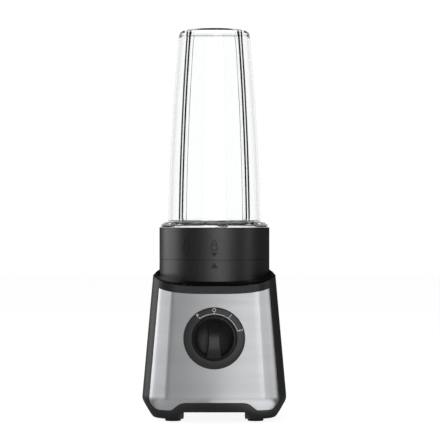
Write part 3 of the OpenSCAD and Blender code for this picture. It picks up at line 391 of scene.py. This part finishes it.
leg_levels = [(50.0, 2.4), (51.5, 2.6), (52.8, 3.3), (53.9, 4.5), (56.8, 9.1), (59.8, 14.6),
              (60.9, 16.8), (61.6, 18.6), (61.95, 20.4), (half(22.5), 22.5)]
wall_levels = leg_levels + [(half(z), z) for z in (45, 72, 99, 140)]
housing = rounded_column("housing_shell", wall_levels)
past_top, leg_inside, hollow_share, core_share = 145, 49.0, 0.352, 0.376
hollow = [(h - housing_wall, z)
          for h, z in [(leg_inside, -5.0)] + wall_levels[:-1] + [(half(past_top), past_top)]]
cut(housing, rounded_column("hollow", hollow, hollow_share))
edge_steps = 28
edge_turns = [math.sin(math.radians(90 * i / edge_steps)) for i in range(edge_steps + 1)]
edge_curve = [(edge_reach * t, edge_height + climb(edge_reach * t, edge_climb)) for t in edge_turns]
cut(housing, cutter("saddle", mirrored([(0, 150), (edge_reach, 150)] + edge_curve[:0:-1])))
arch = mirrored([(25.2, 8.7), (26.8, 8.5), (28.3, 7.8), (29.6, 6.4), (30.8, 4.6), (32.0, 3.1),
                 (33.2, 2.2), (33.6, -5)])
cut(housing, cutter("front_arch", arch))
cut(housing, cutter("side_arch", arch, across=True))
plate_top, plate_climb, plate_margin, plate_steps = 109.4, 18.0, 6.6, 16
plate_top_x = half(plate_top + 4) - plate_margin
plate_half_width, plate_half_height, plate_middle = 57, 50, 62
lower_side = [(55.5, 20.0), (55.1, 18.2), (54.4, 16.4), (53.3, 14.8), (51.9, 13.2), (50.2, 11.9),
              (48.3, 11.0), (46.0, 10.7), (37.4, 10.6), (36.2, 10.9), (35.0, 11.8), (31.6, 14.6),
              (30.0, 15.8), (28.2, 16.6), (26.2, 17.0), (24.0, 17.2)]


def plate_blank(name, gap):
    """The steel's outline, cut right through the front. Gap widens it for the pocket."""
    across = [plate_top_x * i / plate_steps for i in range(-plate_steps, plate_steps + 1)]
    arc = [(x, plate_top + climb(x, plate_climb)) for x in across]
    points = arc + lower_side + [(-x, z) for x, z in reversed(lower_side)]
    part = trace(name, [(x, -30, z) for x, z in points], closed=True)
    thicken(0, -50, 0)
    if gap:
        bpy.ops.transform.resize(value=(1 + gap / plate_half_width, 1, 1 + gap / plate_half_height),
                                 center_override=(0, 0, plate_middle * MM))
    to_object()
    return part


def front_skin(name, blank, outside, inside):
    """The part of the front between two depths below its surface and inside a blank's outline."""
    sheet = rounded_column(name, [(h + outside, z) for h, z in wall_levels])
    core = [(h - inside, z)
            for h, z in [(leg_inside, 0.0)] + wall_levels[:-1] + [(half(past_top), past_top)]]
    cut(sheet, rounded_column("core", core, core_share))
    cut(sheet, blank, "INTERSECT")
    return sheet


pocket_gap, pocket_depth, through = 0.3, 0.75, 12
cut(housing, front_skin("pocket", plate_blank("pocket_blank", pocket_gap), 1.0, pocket_depth))
vent_half_width, vent_half_height, vent_height = 22.0, 11.0, 58.0
vent_hole = block("vent_hole", (-vent_half_width, -through / 2, -vent_half_height),
                  (vent_half_width, through / 2, vent_half_height))
vent_hole.matrix_world = (Matrix.Translation((0, half(vent_height) * MM, vent_height * MM))
                          @ Matrix.Rotation(lean, 4, "X"))
cut(housing, vent_hole)
inlet_height, inlet_radius = 30.0, 7.2
cut(housing, rod("inlet_hole", inlet_radius, through, (0, half(inlet_height), inlet_height),
                 (math.radians(-90) + lean, 0, 0)))
dial_height, spindle_radius = 71.8, 5.0
dial_middle, dial_turn = (0, -half(dial_height), dial_height), (math.radians(90) - lean, 0, 0)
cut(housing, rod("spindle_hole", spindle_radius, through, dial_middle, dial_turn))
soften(housing, 0.55)
housing_plastic = finish_of("textured_housing_plastic", (0.012, 0.012, 0.0125), 0.42, grain=1500,
                            depth=0.03)
settle(housing, housing_plastic, "base", "base_plastic", "housing")


# ---- Steel front ----
# A 0.6 mm stainless sheet, brushed across, pressed to follow the front and a part of both corners.
# It lies in the housing's pocket and is held by the dial's bushing and by folded tabs.
plate_thick, dial_cut_radius = 0.6, 20.2
plate_crown, crown_half, last_line, line_gap = 0.3, 36, 34, 4
plate = front_skin("steel_front", plate_blank("steel_blank", 0), 0.0, plate_thick)
cut(plate, rod("dial_cut", dial_cut_radius, through, dial_middle, dial_turn, 128))
work_on(plate)
bpy.ops.object.mode_set(mode="EDIT")
for x in range(-last_line, last_line + 1, line_gap):
    bpy.ops.mesh.select_all(action="SELECT")
    bpy.ops.mesh.bisect(plane_co=(x * MM, 0, 0), plane_no=(1, 0, 0))
to_object()
for point in plate.data.vertices:
    point.co.y -= plate_crown * max(0, 1 - (point.co.x / MM / crown_half) ** 2) * MM
soften(plate, 0.18, 2)
brushing = plate.data.uv_layers.new(name="brushing")
uv_per_metre = 8
for corner in plate.data.loops:
    place = plate.data.vertices[corner.vertex_index].co
    brushing.data[corner.index].uv = (place.x * uv_per_metre + 0.5, place.z * uv_per_metre)
steel = finish_of("brushed_front_steel", (0.612, 0.625, 0.642), 0.32, spread=0.16, grain=60,
                  depth=0.004, stretch=(0.35, 0.35, 15), metal=1.0, uneven=0.1)
adjust(steel, "Anisotropic", 0.91)
adjust(steel, "Anisotropic Rotation", 0.25)
brush_lines = steel.node_tree.nodes.new("ShaderNodeTangent")
brush_lines.direction_type = "UV_MAP"
brush_lines.uv_map = "brushing"
steel.node_tree.links.new(brush_lines.outputs["Tangent"],
                          steel.node_tree.nodes["Principled BSDF"].inputs["Tangent"])
settle(plate, steel, "base", "steel_front", "front_plate")
steel_only.objects.link(plate)
base_only.objects.link(plate)
base_only.objects.link(housing)


# ---- Bottom cover and feet ----
# A flat moulded cover with air slots, screwed up between the legs, and four soft rubber pads in
# shallow seats that hide the screws' heads.


def dress(material, *names):
    """Gives CAD nodes their finish."""
    for name in names:
        nodes[name].material_slots[0].material = material


def joined(parts):
    """Makes several pieces one."""
    work_on(parts[0])
    for part in parts:
        part.select_set(True)
    bpy.ops.object.join()
    return bpy.context.object


dress(finish_of("cover_plastic", (0.03, 0.03, 0.032), 0.5, grain=1200, depth=0.02), "bottom_cover",
      "rear_vent")
zinc = finish_of("zinc_screws", (0.62, 0.62, 0.6), 0.35, grain=900, depth=0.01, metal=1.0)
dress(zinc, "bottom_screws", "socket_screws", "motor_screws", "interlock_spring", "switch_nut")
rubber = finish_of("foot_rubber", (0.012, 0.012, 0.012), 0.75, grain=1400, depth=0.05)
pads = []
pad_radius, pad_rim, pad_slope, pad_dish = 6.8, 1.6, 0.6, 0.5
foot_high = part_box("feet")[1]
pad_x, pad_y = foot_high[0] / MM - pad_radius, foot_high[1] / MM - pad_radius
for side_x in (-1, 1):
    for side_y in (-1, 1):
        bpy.ops.mesh.primitive_cylinder_add(
            vertices=64, radius=pad_radius * MM, depth=foot_high[2],
            location=(side_x * pad_x * MM, side_y * pad_y * MM, foot_high[2] / 2))
        pad = begin("pad")
        pick(pad, "FACE", lambda m: m.z < 0.01)
        bpy.ops.mesh.inset(thickness=pad_rim * MM)
        bpy.ops.mesh.inset(thickness=pad_slope * MM, depth=-pad_dish * MM)
        to_object()
        pads.append(pad)
feet = joined(pads)
feet.name = feet.data.name = "rubber_feet"
soften(feet, 0.3)
settle(feet, rubber, "base", "rubber_feet", "feet")


# ---- Motor, switch and wiring ----
# A universal motor hangs in rubber bushes from the socket's floor: pressed steel brackets, laminated
# cores with enamelled copper coils, carbon brushes on a copper commutator, and a fan underneath.
dress(finish_of("pressed_steel", (0.56, 0.57, 0.58), 0.35, grain=500, metal=1.0), "motor_bracket_top",
      "motor_bracket_bottom")
dress(finish_of("core_laminations", (0.2, 0.2, 0.21), 0.45, spread=0.3, grain=60, depth=0.05,
                stretch=(1, 1, 40), metal=1.0), "stator_core", "armature_core")
dress(finish_of("enamelled_copper", (0.55, 0.2, 0.07), 0.3, spread=0.3, grain=90, depth=0.2,
                stretch=(1, 1, 12), metal=1.0), "field_coils", "armature_winding")
dress(finish_of("brush_brass", (0.75, 0.55, 0.24), 0.3, grain=600, metal=1.0), "brush_holders",
      "switch_terminals")
dress(finish_of("brush_carbon", (0.02, 0.02, 0.02), 0.6, grain=1500, depth=0.03), "carbon_brushes")
dress(finish_of("sintered_bronze", (0.5, 0.33, 0.16), 0.45, spread=0.2, grain=1500, depth=0.03,
                metal=1.0), "bearing_top", "bearing_bottom", "blade_bushes")
dress(finish_of("ground_steel", (0.72, 0.72, 0.73), 0.18, grain=200, depth=0.004, stretch=(1, 1, 25),
                metal=1.0), "motor_shaft", "blade_shaft")
dress(finish_of("commutator_copper", (0.72, 0.36, 0.18), 0.28, grain=300, metal=1.0), "commutator")
dress(finish_of("white_nylon", (0.72, 0.72, 0.68), 0.5, grain=900), "cooling_fan", "switch_spindle",
      "terminal_block", "interlock_pin")
dress(finish_of("soft_bush_rubber", (0.015, 0.015, 0.015), 0.7, grain=1200, depth=0.04),
      "motor_dampers", "shaft_slinger", "blade_seal", "inlet_bush")
dress(finish_of("switch_plastic", (0.025, 0.025, 0.028), 0.4, grain=900), "rotary_switch",
      "micro_switch")
dress(finish_of("wire_cover", (0.45, 0.03, 0.02), 0.45, grain=900, depth=0.03), "inner_wiring")


# ---- Dial ring and its print ----
# A flat satin ring round the knob, clipped into the steel, with its marks printed in white: an arc
# from the pulse position to the second speed, a tick for each of the four positions and its sign.


def spin_round(steps, turn=math.tau):
    """Turns the drawn section round the vertical axis into a closed solid."""
    bpy.ops.mesh.select_all(action="SELECT")
    bpy.ops.mesh.spin(steps=steps, angle=turn, center=(0, 0, 0), axis=(0, 0, 1))
    bpy.ops.mesh.select_all(action="SELECT")
    bpy.ops.mesh.remove_doubles(threshold=0.002 * MM)
    face_outwards()


def turned(name, section, steps=160, closed=True):
    """A solid of revolution from a section of (radius, height) points, in mm. A section whose ends both
    lie on the axis can stay open."""
    part = trace(name, [(r, 0, z) for r, z in section], closed)
    if closed:
        bpy.ops.mesh.delete(type="ONLY_FACE")
    spin_round(steps)
    to_object()
    return part


face_height, face_fall, face_inner = 1.75, 0.02, 19.6


def ring_crown(radius):
    """Height of the ring's faintly domed face."""
    return face_height - face_fall * (radius - face_inner) ** 2


ring = turned("dial_ring",
              [(18.95, -0.5), (20.0, -0.5), (20.0, 0.06), (26.4, 0.06), (26.4, 0.25), (26.15, 0.7)]
              + [(r, ring_crown(r)) for r in (25.7, 25.0, 24.0, 23.0, 22.0, 21.0, 20.2)]
              + [(19.4, 1.72), (19.0, 1.3), (18.95, 0.9)])
soften(ring, 0.12, 2)
against_front(ring, dial_height)
dial_plastic = finish_of("dial_plastic", (0.022, 0.022, 0.0235), 0.34, grain=1400, depth=0.02)
settle(ring, dial_plastic, "base", "dial_plastic", "dial_ring")

print_thick = 0.05
stops = (-36, 0, 36, 73)
arc_inner, arc_outer = 20.5, 20.95
tick_width, tick_length, tick_radius = 0.5, 1.6, 21.4
sign_size, sign_radius = 4.3, 23.8
marks = []


def dial_point(angle, radius):
    """A point on the dial, at an angle clockwise from the top."""
    turn = math.radians(angle)
    return radius * math.sin(turn), radius * math.cos(turn)


start = [(*dial_point(stops[0], r), 0) for r in (arc_inner, arc_outer)]
arc_mark = trace("arc_mark", start)
spin_round(64, math.radians(stops[-1] - stops[0]))
to_object()
marks.append(arc_mark)
for stop in stops:
    bpy.ops.mesh.primitive_plane_add(size=MM)
    tick = begin("tick")
    bpy.ops.transform.resize(value=(tick_width, tick_length, 1))
    bpy.ops.transform.translate(value=(0, tick_radius * MM, 0))
    bpy.ops.transform.rotate(value=math.radians(stop), orient_axis="Z", center_override=(0, 0, 0))
    to_object()
    marks.append(tick)
for stop, sign in zip(stops, "PO12"):
    x, y = dial_point(stop, sign_radius)
    bpy.ops.object.text_add(location=(x * MM, y * MM, 0), rotation=(0, 0, -math.radians(stop)))
    sign_text = bpy.context.object
    sign_text.data.body = sign
    sign_text.data.size = sign_size * MM
    sign_text.data.align_x = "CENTER"
    sign_text.data.align_y = "CENTER"
    bpy.ops.object.convert(target="MESH")
    marks.append(begin("sign_" + sign))
    to_object()
dial_print = joined(marks)
dial_print.name = dial_print.data.name = "dial_print"
bpy.ops.object.mode_set(mode="EDIT")
face_outwards()
thicken(0, 0, print_thick)
to_object()
for point in dial_print.data.vertices:
    point.co.z += ring_crown(point.co.xy.length / MM) * MM
against_front(dial_print, dial_height)
white_ink = finish_of("white_ink", (0.72, 0.72, 0.70), 0.6, grain=1200, depth=0.01)
settle(dial_print, white_ink, "base", "dial_plastic")


# ---- Knob ----
# A moulded knob pushed onto the switch spindle: a dished round body with a thin rim, and across it a
# raised grip that widens downwards. Both are one plastic in two copies. The body's is darker and less
# glossy, a painted shade in its dished wells, and the grip's is lighter and glossier, a painted
# highlight.
# The narrow end of the grip is the pointer.
# The body's copy of the knob plastic is darker and less glossy: painted shade in its dished wells.
knob_plastic = finish_of("knob_plastic", (0.005, 0.005, 0.0052), 0.31, grain=1200, depth=0.012)
adjust(knob_plastic, "Specular IOR Level", 0.33)
knob = turned("knob_body", [(0, 2.2), (4.0, 2.2), (16.0, 2.2), (16.0, 0.6), (17.8, 0.6), (18.0, 0.9),
                            (18.0, 5.5), (17.9, 5.85), (17.82, 5.87), (17.05, 6.0), (16.95, 6.0),
                            (16.7, 5.4), (15.2, 4.7), (13.5, 4.1), (10.0, 3.3), (7.0, 2.95), (4.0, 2.8),
                            (0, 2.8)])
against_front(knob, dial_height)
settle(knob, knob_plastic, "dial", "knob_plastic", "knob")
grip_foot, grip_height, grip_narrowing, grip_reach = 2.6, 14, 0.8, 17.3
back_radius, back_top, back_aside, rod_length = 32.0, 12.8, -7.0, 60
grip_side = [(4.8, 17.6), (4.8, 13.0), (4.75, 9.0), (4.7, 5.0), (4.75, 1.0), (4.95, -3.0), (5.3, -7.0),
             (5.8, -11.0), (6.6, -14.5), (7.6, -17.6)]
grip = trace("knob_grip", [(x, y, grip_foot) for x, y in mirrored(grip_side)], closed=True)
bpy.ops.mesh.extrude_region_move(TRANSFORM_OT_translate={"value": (0, 0, grip_height * MM)})
bpy.ops.transform.resize(value=(grip_narrowing, 1, 1), center_override=(0, 0, 0))
face_outwards()
to_object()
cut(grip, rod("round", grip_reach, rod_length, (0, 0, 0), steps=160), "INTERSECT")
cut(grip, rod("crown", back_radius, rod_length, (0, back_aside, back_top - back_radius),
              (0, math.radians(90), 0), 160), "INTERSECT")
soften(grip, 0.7, 4, 40)
against_front(grip, dial_height)
# The grip's copy of the same plastic is lighter and glossier: a painted highlight.
grip_highlight_plastic = finish_of("grip_highlight_plastic", (0.01, 0.01, 0.0105), 0.3, grain=1200, depth=0.012)
adjust(grip_highlight_plastic, "Specular IOR Level", 0.65)
settle(grip, grip_highlight_plastic, "dial", "knob_plastic")


# ---- Top cover ----
# A gloss black moulding that fills the saddle between the housing's edge and the round socket. Its
# skirt stands on the housing's ledge, and four screws hold the socket up against its bosses.
socket_hole, hole_wall, skirt_drop, lip_inset = 48.5, 3, 5, 0.2
flat_from = 0.965


def square_reach(turn, side, radius):
    """Distance from the axis to the side of a round-cornered square, in one direction."""
    big, small = sorted((abs(math.cos(turn)), abs(math.sin(turn))), reverse=True)
    flat = side - radius
    if side / big * small <= flat:
        return side / big
    along = flat * (big + small)
    return along + math.sqrt(along * along + radius * radius - 2 * flat * flat)


def lip_at(turn):
    """Distance to the housing's outer face, and the x there, where its curved edge stands."""
    side = half(edge_height)
    first = square_reach(turn, side, side * corner_share)
    side = half(edge_height + climb(first * math.cos(turn), edge_climb))
    reach = square_reach(turn, side, side * corner_share) - lip_inset
    return reach, reach * math.cos(turn)


cover_rings = [(0, 4.2), (0.1, 3.9), (0.25, 3.45), (0.4, 3.05), (0.55, 2.65), (0.7, 2.15), (0.8, 1.75),
               (0.88, 1.3), (0.94, 0.85), (0.98, 0.45), (1, 0.15), (1, 0.04)]
bpy.ops.mesh.primitive_circle_add(vertices=192, radius=socket_hole * MM)
cover = begin("gloss_cover")
for step in range(1, len(cover_rings) + 2):
    bpy.ops.mesh.extrude_region_move()
    bpy.ops.transform.resize(value=((socket_hole + step) / (socket_hole + step - 1),) * 2 + (1,),
                             center_override=(0, 0, 0))
cover_mesh = bmesh.from_edit_mesh(cover.data)
for point in cover_mesh.verts:
    turn = math.atan2(point.co.y, point.co.x)
    step = round(point.co.xy.length / MM - socket_hole)
    lip, lip_x = lip_at(turn)
    out, rise = cover_rings[min(step, len(cover_rings) - 1)]
    reach = socket_hole + (lip - socket_hole) * out
    if step >= len(cover_rings):
        reach = lip - housing_wall
    if step > len(cover_rings):
        rise = -skirt_drop
    x = reach * math.cos(turn)
    at_side = min(1, max(0, (abs(math.cos(turn)) - flat_from) / (1 - flat_from)))
    x += (lip_x - x) * at_side * at_side * (3 - 2 * at_side) if rise > 0.1 else 0
    point.co = Vector((reach * math.cos(turn), reach * math.sin(turn),
                       edge_height + climb(x, edge_climb) + rise)) * MM
bmesh.update_edit_mesh(cover.data)
pick(cover, "EDGE", lambda m: math.hypot(m.x, m.y) < socket_hole + 0.05)
bpy.ops.mesh.extrude_region_move(TRANSFORM_OT_translate={"value": (0, 0, -hole_wall * MM)})
face_outwards()
to_object()
gloss_black = finish_of("gloss_black_cover", (0.003, 0.003, 0.0032), 0.14, grain=60, depth=0.004)
settle(cover, gloss_black, "base", "gloss_black", "top_cover")


# ---- Jar socket ----
# The round satin black socket that the jar drops into and locks in by its bayonet: a wall, a floor
# with a drip rim round the drive, a broken ledge over the lugs, and under the floor the posts for the
# motor.
satin_black = finish_of("socket_satin_plastic", (0.006, 0.006, 0.0062), 0.38, grain=1300, depth=0.02)
adjust(satin_black, "Specular IOR Level", 0.7)


def moulded(name, node, width):
    """A merged copy of a CAD solid with its edges rounded as the mould leaves them, in mm."""
    to_object()
    part = bpy.data.objects.new(name, nodes[node].data.copy())
    bpy.context.scene.collection.objects.link(part)
    work_on(part)
    bpy.ops.mesh.customdata_custom_splitnormals_clear()
    bpy.ops.object.mode_set(mode="EDIT")
    bpy.ops.mesh.select_mode(type="VERT")
    bpy.ops.mesh.select_all(action="SELECT")
    bpy.ops.mesh.remove_doubles(threshold=0.001 * MM)
    bpy.ops.mesh.dissolve_limited(angle_limit=math.radians(0.6))
    to_object()
    soften(part, width, 2, 30)
    return part


moulded_edge = 0.7
round_socket = moulded("round_socket", "jar_socket", moulded_edge)
settle(round_socket, satin_black, "base", "socket_plastic", "jar_socket")
ring_only.objects.link(round_socket)
dress(finish_of("coupling_rubber", (0.02, 0.02, 0.02), 0.6, grain=900, depth=0.04), "drive_coupling",
      "driven_coupling")


# ---- Blade unit ----
# A black anodised cartridge with two bronze bushes and a seal, clamped through the collar's floor by a
# turned aluminium nut. Two pairs of pressed steel blades are nutted on its shaft.
dress(finish_of("turned_aluminium", (0.66, 0.67, 0.68), 0.3, grain=100, depth=0.01, stretch=(1, 1, 12),
                metal=1.0), "cartridge_nut")
dress(finish_of("black_anodised_aluminium", (0.012, 0.012, 0.0125), 0.36, grain=900, depth=0.01),
      "blade_cartridge")
dress(finish_of("blade_steel", (0.74, 0.745, 0.75), 0.2, grain=120, depth=0.004, stretch=(1, 8, 1),
                metal=1.0), "blade_lower", "blade_upper", "blade_washers", "blade_nut")


# ---- Collar ----
# The round blade collar in satin black plastic, turned to lock the jar. Raised signs show its two
# positions: a closed padlock over an arrow in front, and an open one a twelfth of a turn to the left.
collar_plastic = finish_of("collar_satin_plastic", (0.006, 0.006, 0.0062), 0.38, grain=1300, depth=0.02)
adjust(collar_plastic, "Specular IOR Level", 0.7)
blade_collar = moulded("blade_collar", "collar", moulded_edge)
settle(blade_collar, collar_plastic, "jar_collar", "collar_plastic", "collar")
ring_only.objects.link(blade_collar)
wall_radius, sign_root, sign_proud = 48.4, 0.5, 0.25


def raised_sign(name, outlines, turn=0):
    """Signs moulded a little proud of the round wall, drawn in the front view and turned into place."""
    signs = []
    for outline in outlines:
        signs.append(trace(name, [(x, sign_root - wall_radius, z) for x, z in outline], closed=True))
        thicken(0, -sign_root - sign_proud, 0)
        bpy.ops.transform.rotate(value=math.radians(turn), orient_axis="Z", center_override=(0, 0, 0))
        to_object()
    return joined(signs)


def bar(left, low, right, high):
    """Corners of an upright rectangle."""
    return [(left, low), (right, low), (right, high), (left, high)]


def half_ring(radius, height):
    """Points of half a circle over the shackle's legs, from right to left."""
    return [(radius * math.cos(math.pi * i / 12), height + radius * math.sin(math.pi * i / 12))
            for i in range(13)]


dull_sign = finish_of("etched_sign_plastic", (0.006, 0.006, 0.0062), 0.43, grain=1800, depth=0.02)
adjust(dull_sign, "Specular IOR Level", 0.52)
lock_body = [bar(-2.8, 146.3, 2.8, 147.0), bar(-2.8, 150.7, 2.8, 151.4), bar(-2.8, 147.0, -2.1, 150.7),
             bar(2.1, 147.0, 2.8, 150.7)]
pointer_down = [(2.9, 144.6), (-2.9, 144.6), (0, 141.0)]
pointer_up = [(3.0, 131.4), (0, 135.9), (-3.0, 131.4)]


def bow(height, right_end):
    """A padlock's shackle. Its left leg stands in the body, and its right one ends at a height."""
    outer, inner, left_end = 2.0, 1.2, 151.3
    return ([(outer, right_end)] + half_ring(outer, height) + [(-outer, left_end), (-inner, left_end)]
            + half_ring(inner, height)[::-1] + [(inner, right_end)])


locked = raised_sign("locked_sign", lock_body + [bow(153.3, 151.3), pointer_down])
settle(locked, dull_sign, "jar_collar", "collar_plastic")
unlocked = raised_sign("unlocked_sign", lock_body + [bow(154.3, 153.2), pointer_down], 30)
settle(unlocked, dull_sign, "jar_collar", "collar_plastic")
settle(raised_sign("lock_pointer", [pointer_up]), dull_sign, "base", "socket_plastic")
dress(finish_of("white_silicone", (0.7, 0.7, 0.69), 0.5, grain=700, depth=0.02), "cup_gasket")


# ---- Cup ----
# A clear moulded cup standing mouth down: its flange rests on the collar and its neck goes inside.
# Four flutes, each a low rib between two grooves, run up its wall to the closed end, which has a
# raised rim.
cup_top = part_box("cup")[1][2] / MM
cup_foot, cup_mouth, cup_shrink, cup_wall, cup_corner = 168.0, 40.8, 9.5, 2.4, 5


def cup_radius(z):
    """The cup's outer radius at a height: it narrows towards its closed end, ever faster."""
    share = max(0, (z - cup_foot) / (cup_top - cup_corner - cup_foot))
    return cup_mouth - cup_shrink * (0.3 * share + 0.7 * share * share)


cup_end = cup_mouth - cup_shrink
even_from, even_steps = 180, 14
wall_heights = [cup_foot, 170.5, 172.5, 174.0] + [
    even_from + (cup_top - cup_corner - even_from) * i / even_steps for i in range(even_steps + 1)]
outside = [(0, cup_top - 0.8), (24.5, cup_top - 0.8), (25.5, cup_top), (26.6, cup_top),
           (28.6, cup_top - 0.4), (30.2, cup_top - 1.5), (30.9, cup_top - 2.9)]
outside += [(cup_radius(z), z) for z in reversed(wall_heights) if z > 172.2]
outside += [(40.7, 172.0), (40.9, 171.3), (41.5, 170.9), (42.4, 170.8), (43.4, 170.7), (44.2, 170.5),
            (46.4, 168.9), (47.1, 168.3), (47.2, 167.8), (47.2, 166.6), (46.9, 166.3), (40.6, 166.3),
            (40.6, 153.2), (40.2, 152.8), (39.2, 152.8)]
inside = [(38.8, 153.4), (38.7, 166.0)]
inside += [(cup_radius(z) - cup_wall, z) for z in wall_heights if z < cup_top - 10]
inside += [(cup_end - cup_wall + 0.1, cup_top - 7.6), (28.6, cup_top - 5.2), (27.7, cup_top - 3.6),
           (26.2, cup_top - 2.8), (24.4, cup_top - 2.5), (0, cup_top - 2.5)]
cup = turned("clear_cup", outside + inside, 320, closed=False)
flute_rise, groove_depth, groove_place, groove_half = 0.4, 1.9, 1.9, 1.35
flute_gather, flute_low, quarter = 0.165, 171.5, math.pi / 2
for point in cup.data.vertices:
    x, y, z = point.co / MM
    reach, turn = math.hypot(x, y), math.atan2(y, x)
    if reach < 1:
        continue
    from_flute = turn % quarter - quarter / 2
    gather = -flute_gather * math.sin(4 * from_flute)
    turn, from_flute = turn + gather, from_flute + gather
    if z > flute_low + 0.4 and reach > max(20, cup_radius(z) - cup_wall / 2):
        off = abs(from_flute) * reach
        groove = max(0, 1 - abs(off - groove_place) / groove_half)
        between = min(1, max(0, groove_place + groove_half - off) / groove_half)
        fade = min(1, (z - flute_low) / 3) * min(1, (cup_top + 0.4 - z) / 2)
        reach -= fade * (groove_depth * groove * groove * (3 - 2 * groove) - flute_rise * between)
    point.co.x, point.co.y = reach * math.cos(turn) * MM, reach * math.sin(turn) * MM


def clear(name, tint, edge):
    """A clear finish whose colour is painted towards edge where it is seen edge on, as painted shade."""
    made = bpy.data.materials.new(name)
    made.use_nodes = True
    tree = made.node_tree
    shader = tree.nodes["Principled BSDF"]
    shader.inputs["Transmission Weight"].default_value = 1.0
    shader.inputs["IOR"].default_value = 1.46
    facing = tree.nodes.new("ShaderNodeLayerWeight")
    facing.inputs["Blend"].default_value = 0.5
    # Painted shade: the colour turns from the clear tint to the dark edge colour as the surface is seen
    # more edge on.
    edge_shade_ramp = tree.nodes.new("ShaderNodeValToRGB")
    edge_shade_ramp.color_ramp.elements[0].position = 0.62
    edge_shade_ramp.color_ramp.elements[0].color = (*tint, 1)
    edge_shade_ramp.color_ramp.elements[1].position = 0.97
    edge_shade_ramp.color_ramp.elements[1].color = (*edge, 1)
    tree.links.new(facing.outputs["Facing"], edge_shade_ramp.inputs["Fac"])
    tree.links.new(edge_shade_ramp.outputs["Color"], shader.inputs["Base Color"])
    place = tree.nodes.new("ShaderNodeTexCoord")
    smear = tree.nodes.new("ShaderNodeTexNoise")
    smear.inputs["Scale"].default_value = 35
    tree.links.new(place.outputs["Object"], smear.inputs["Vector"])
    polish = tree.nodes.new("ShaderNodeMapRange")
    polish.inputs["To Max"].default_value = 0.008
    tree.links.new(smear.outputs["Fac"], polish.inputs["Value"])
    tree.links.new(polish.outputs["Result"], shader.inputs["Roughness"])
    return made


# The second colour is the painted shade on the cup's edges and steep flute walls.
clear_plastic = clear("clear_cup_plastic", (0.985, 0.99, 0.99), (0.62, 0.63, 0.64))
settle(cup, clear_plastic, "jar_cup", "clear_plastic", "cup", smooth=50)
cup_only.objects.link(cup)
not_cup.objects.link(cup)
not_cup.collection_objects[0].light_linking.link_state = "EXCLUDE"
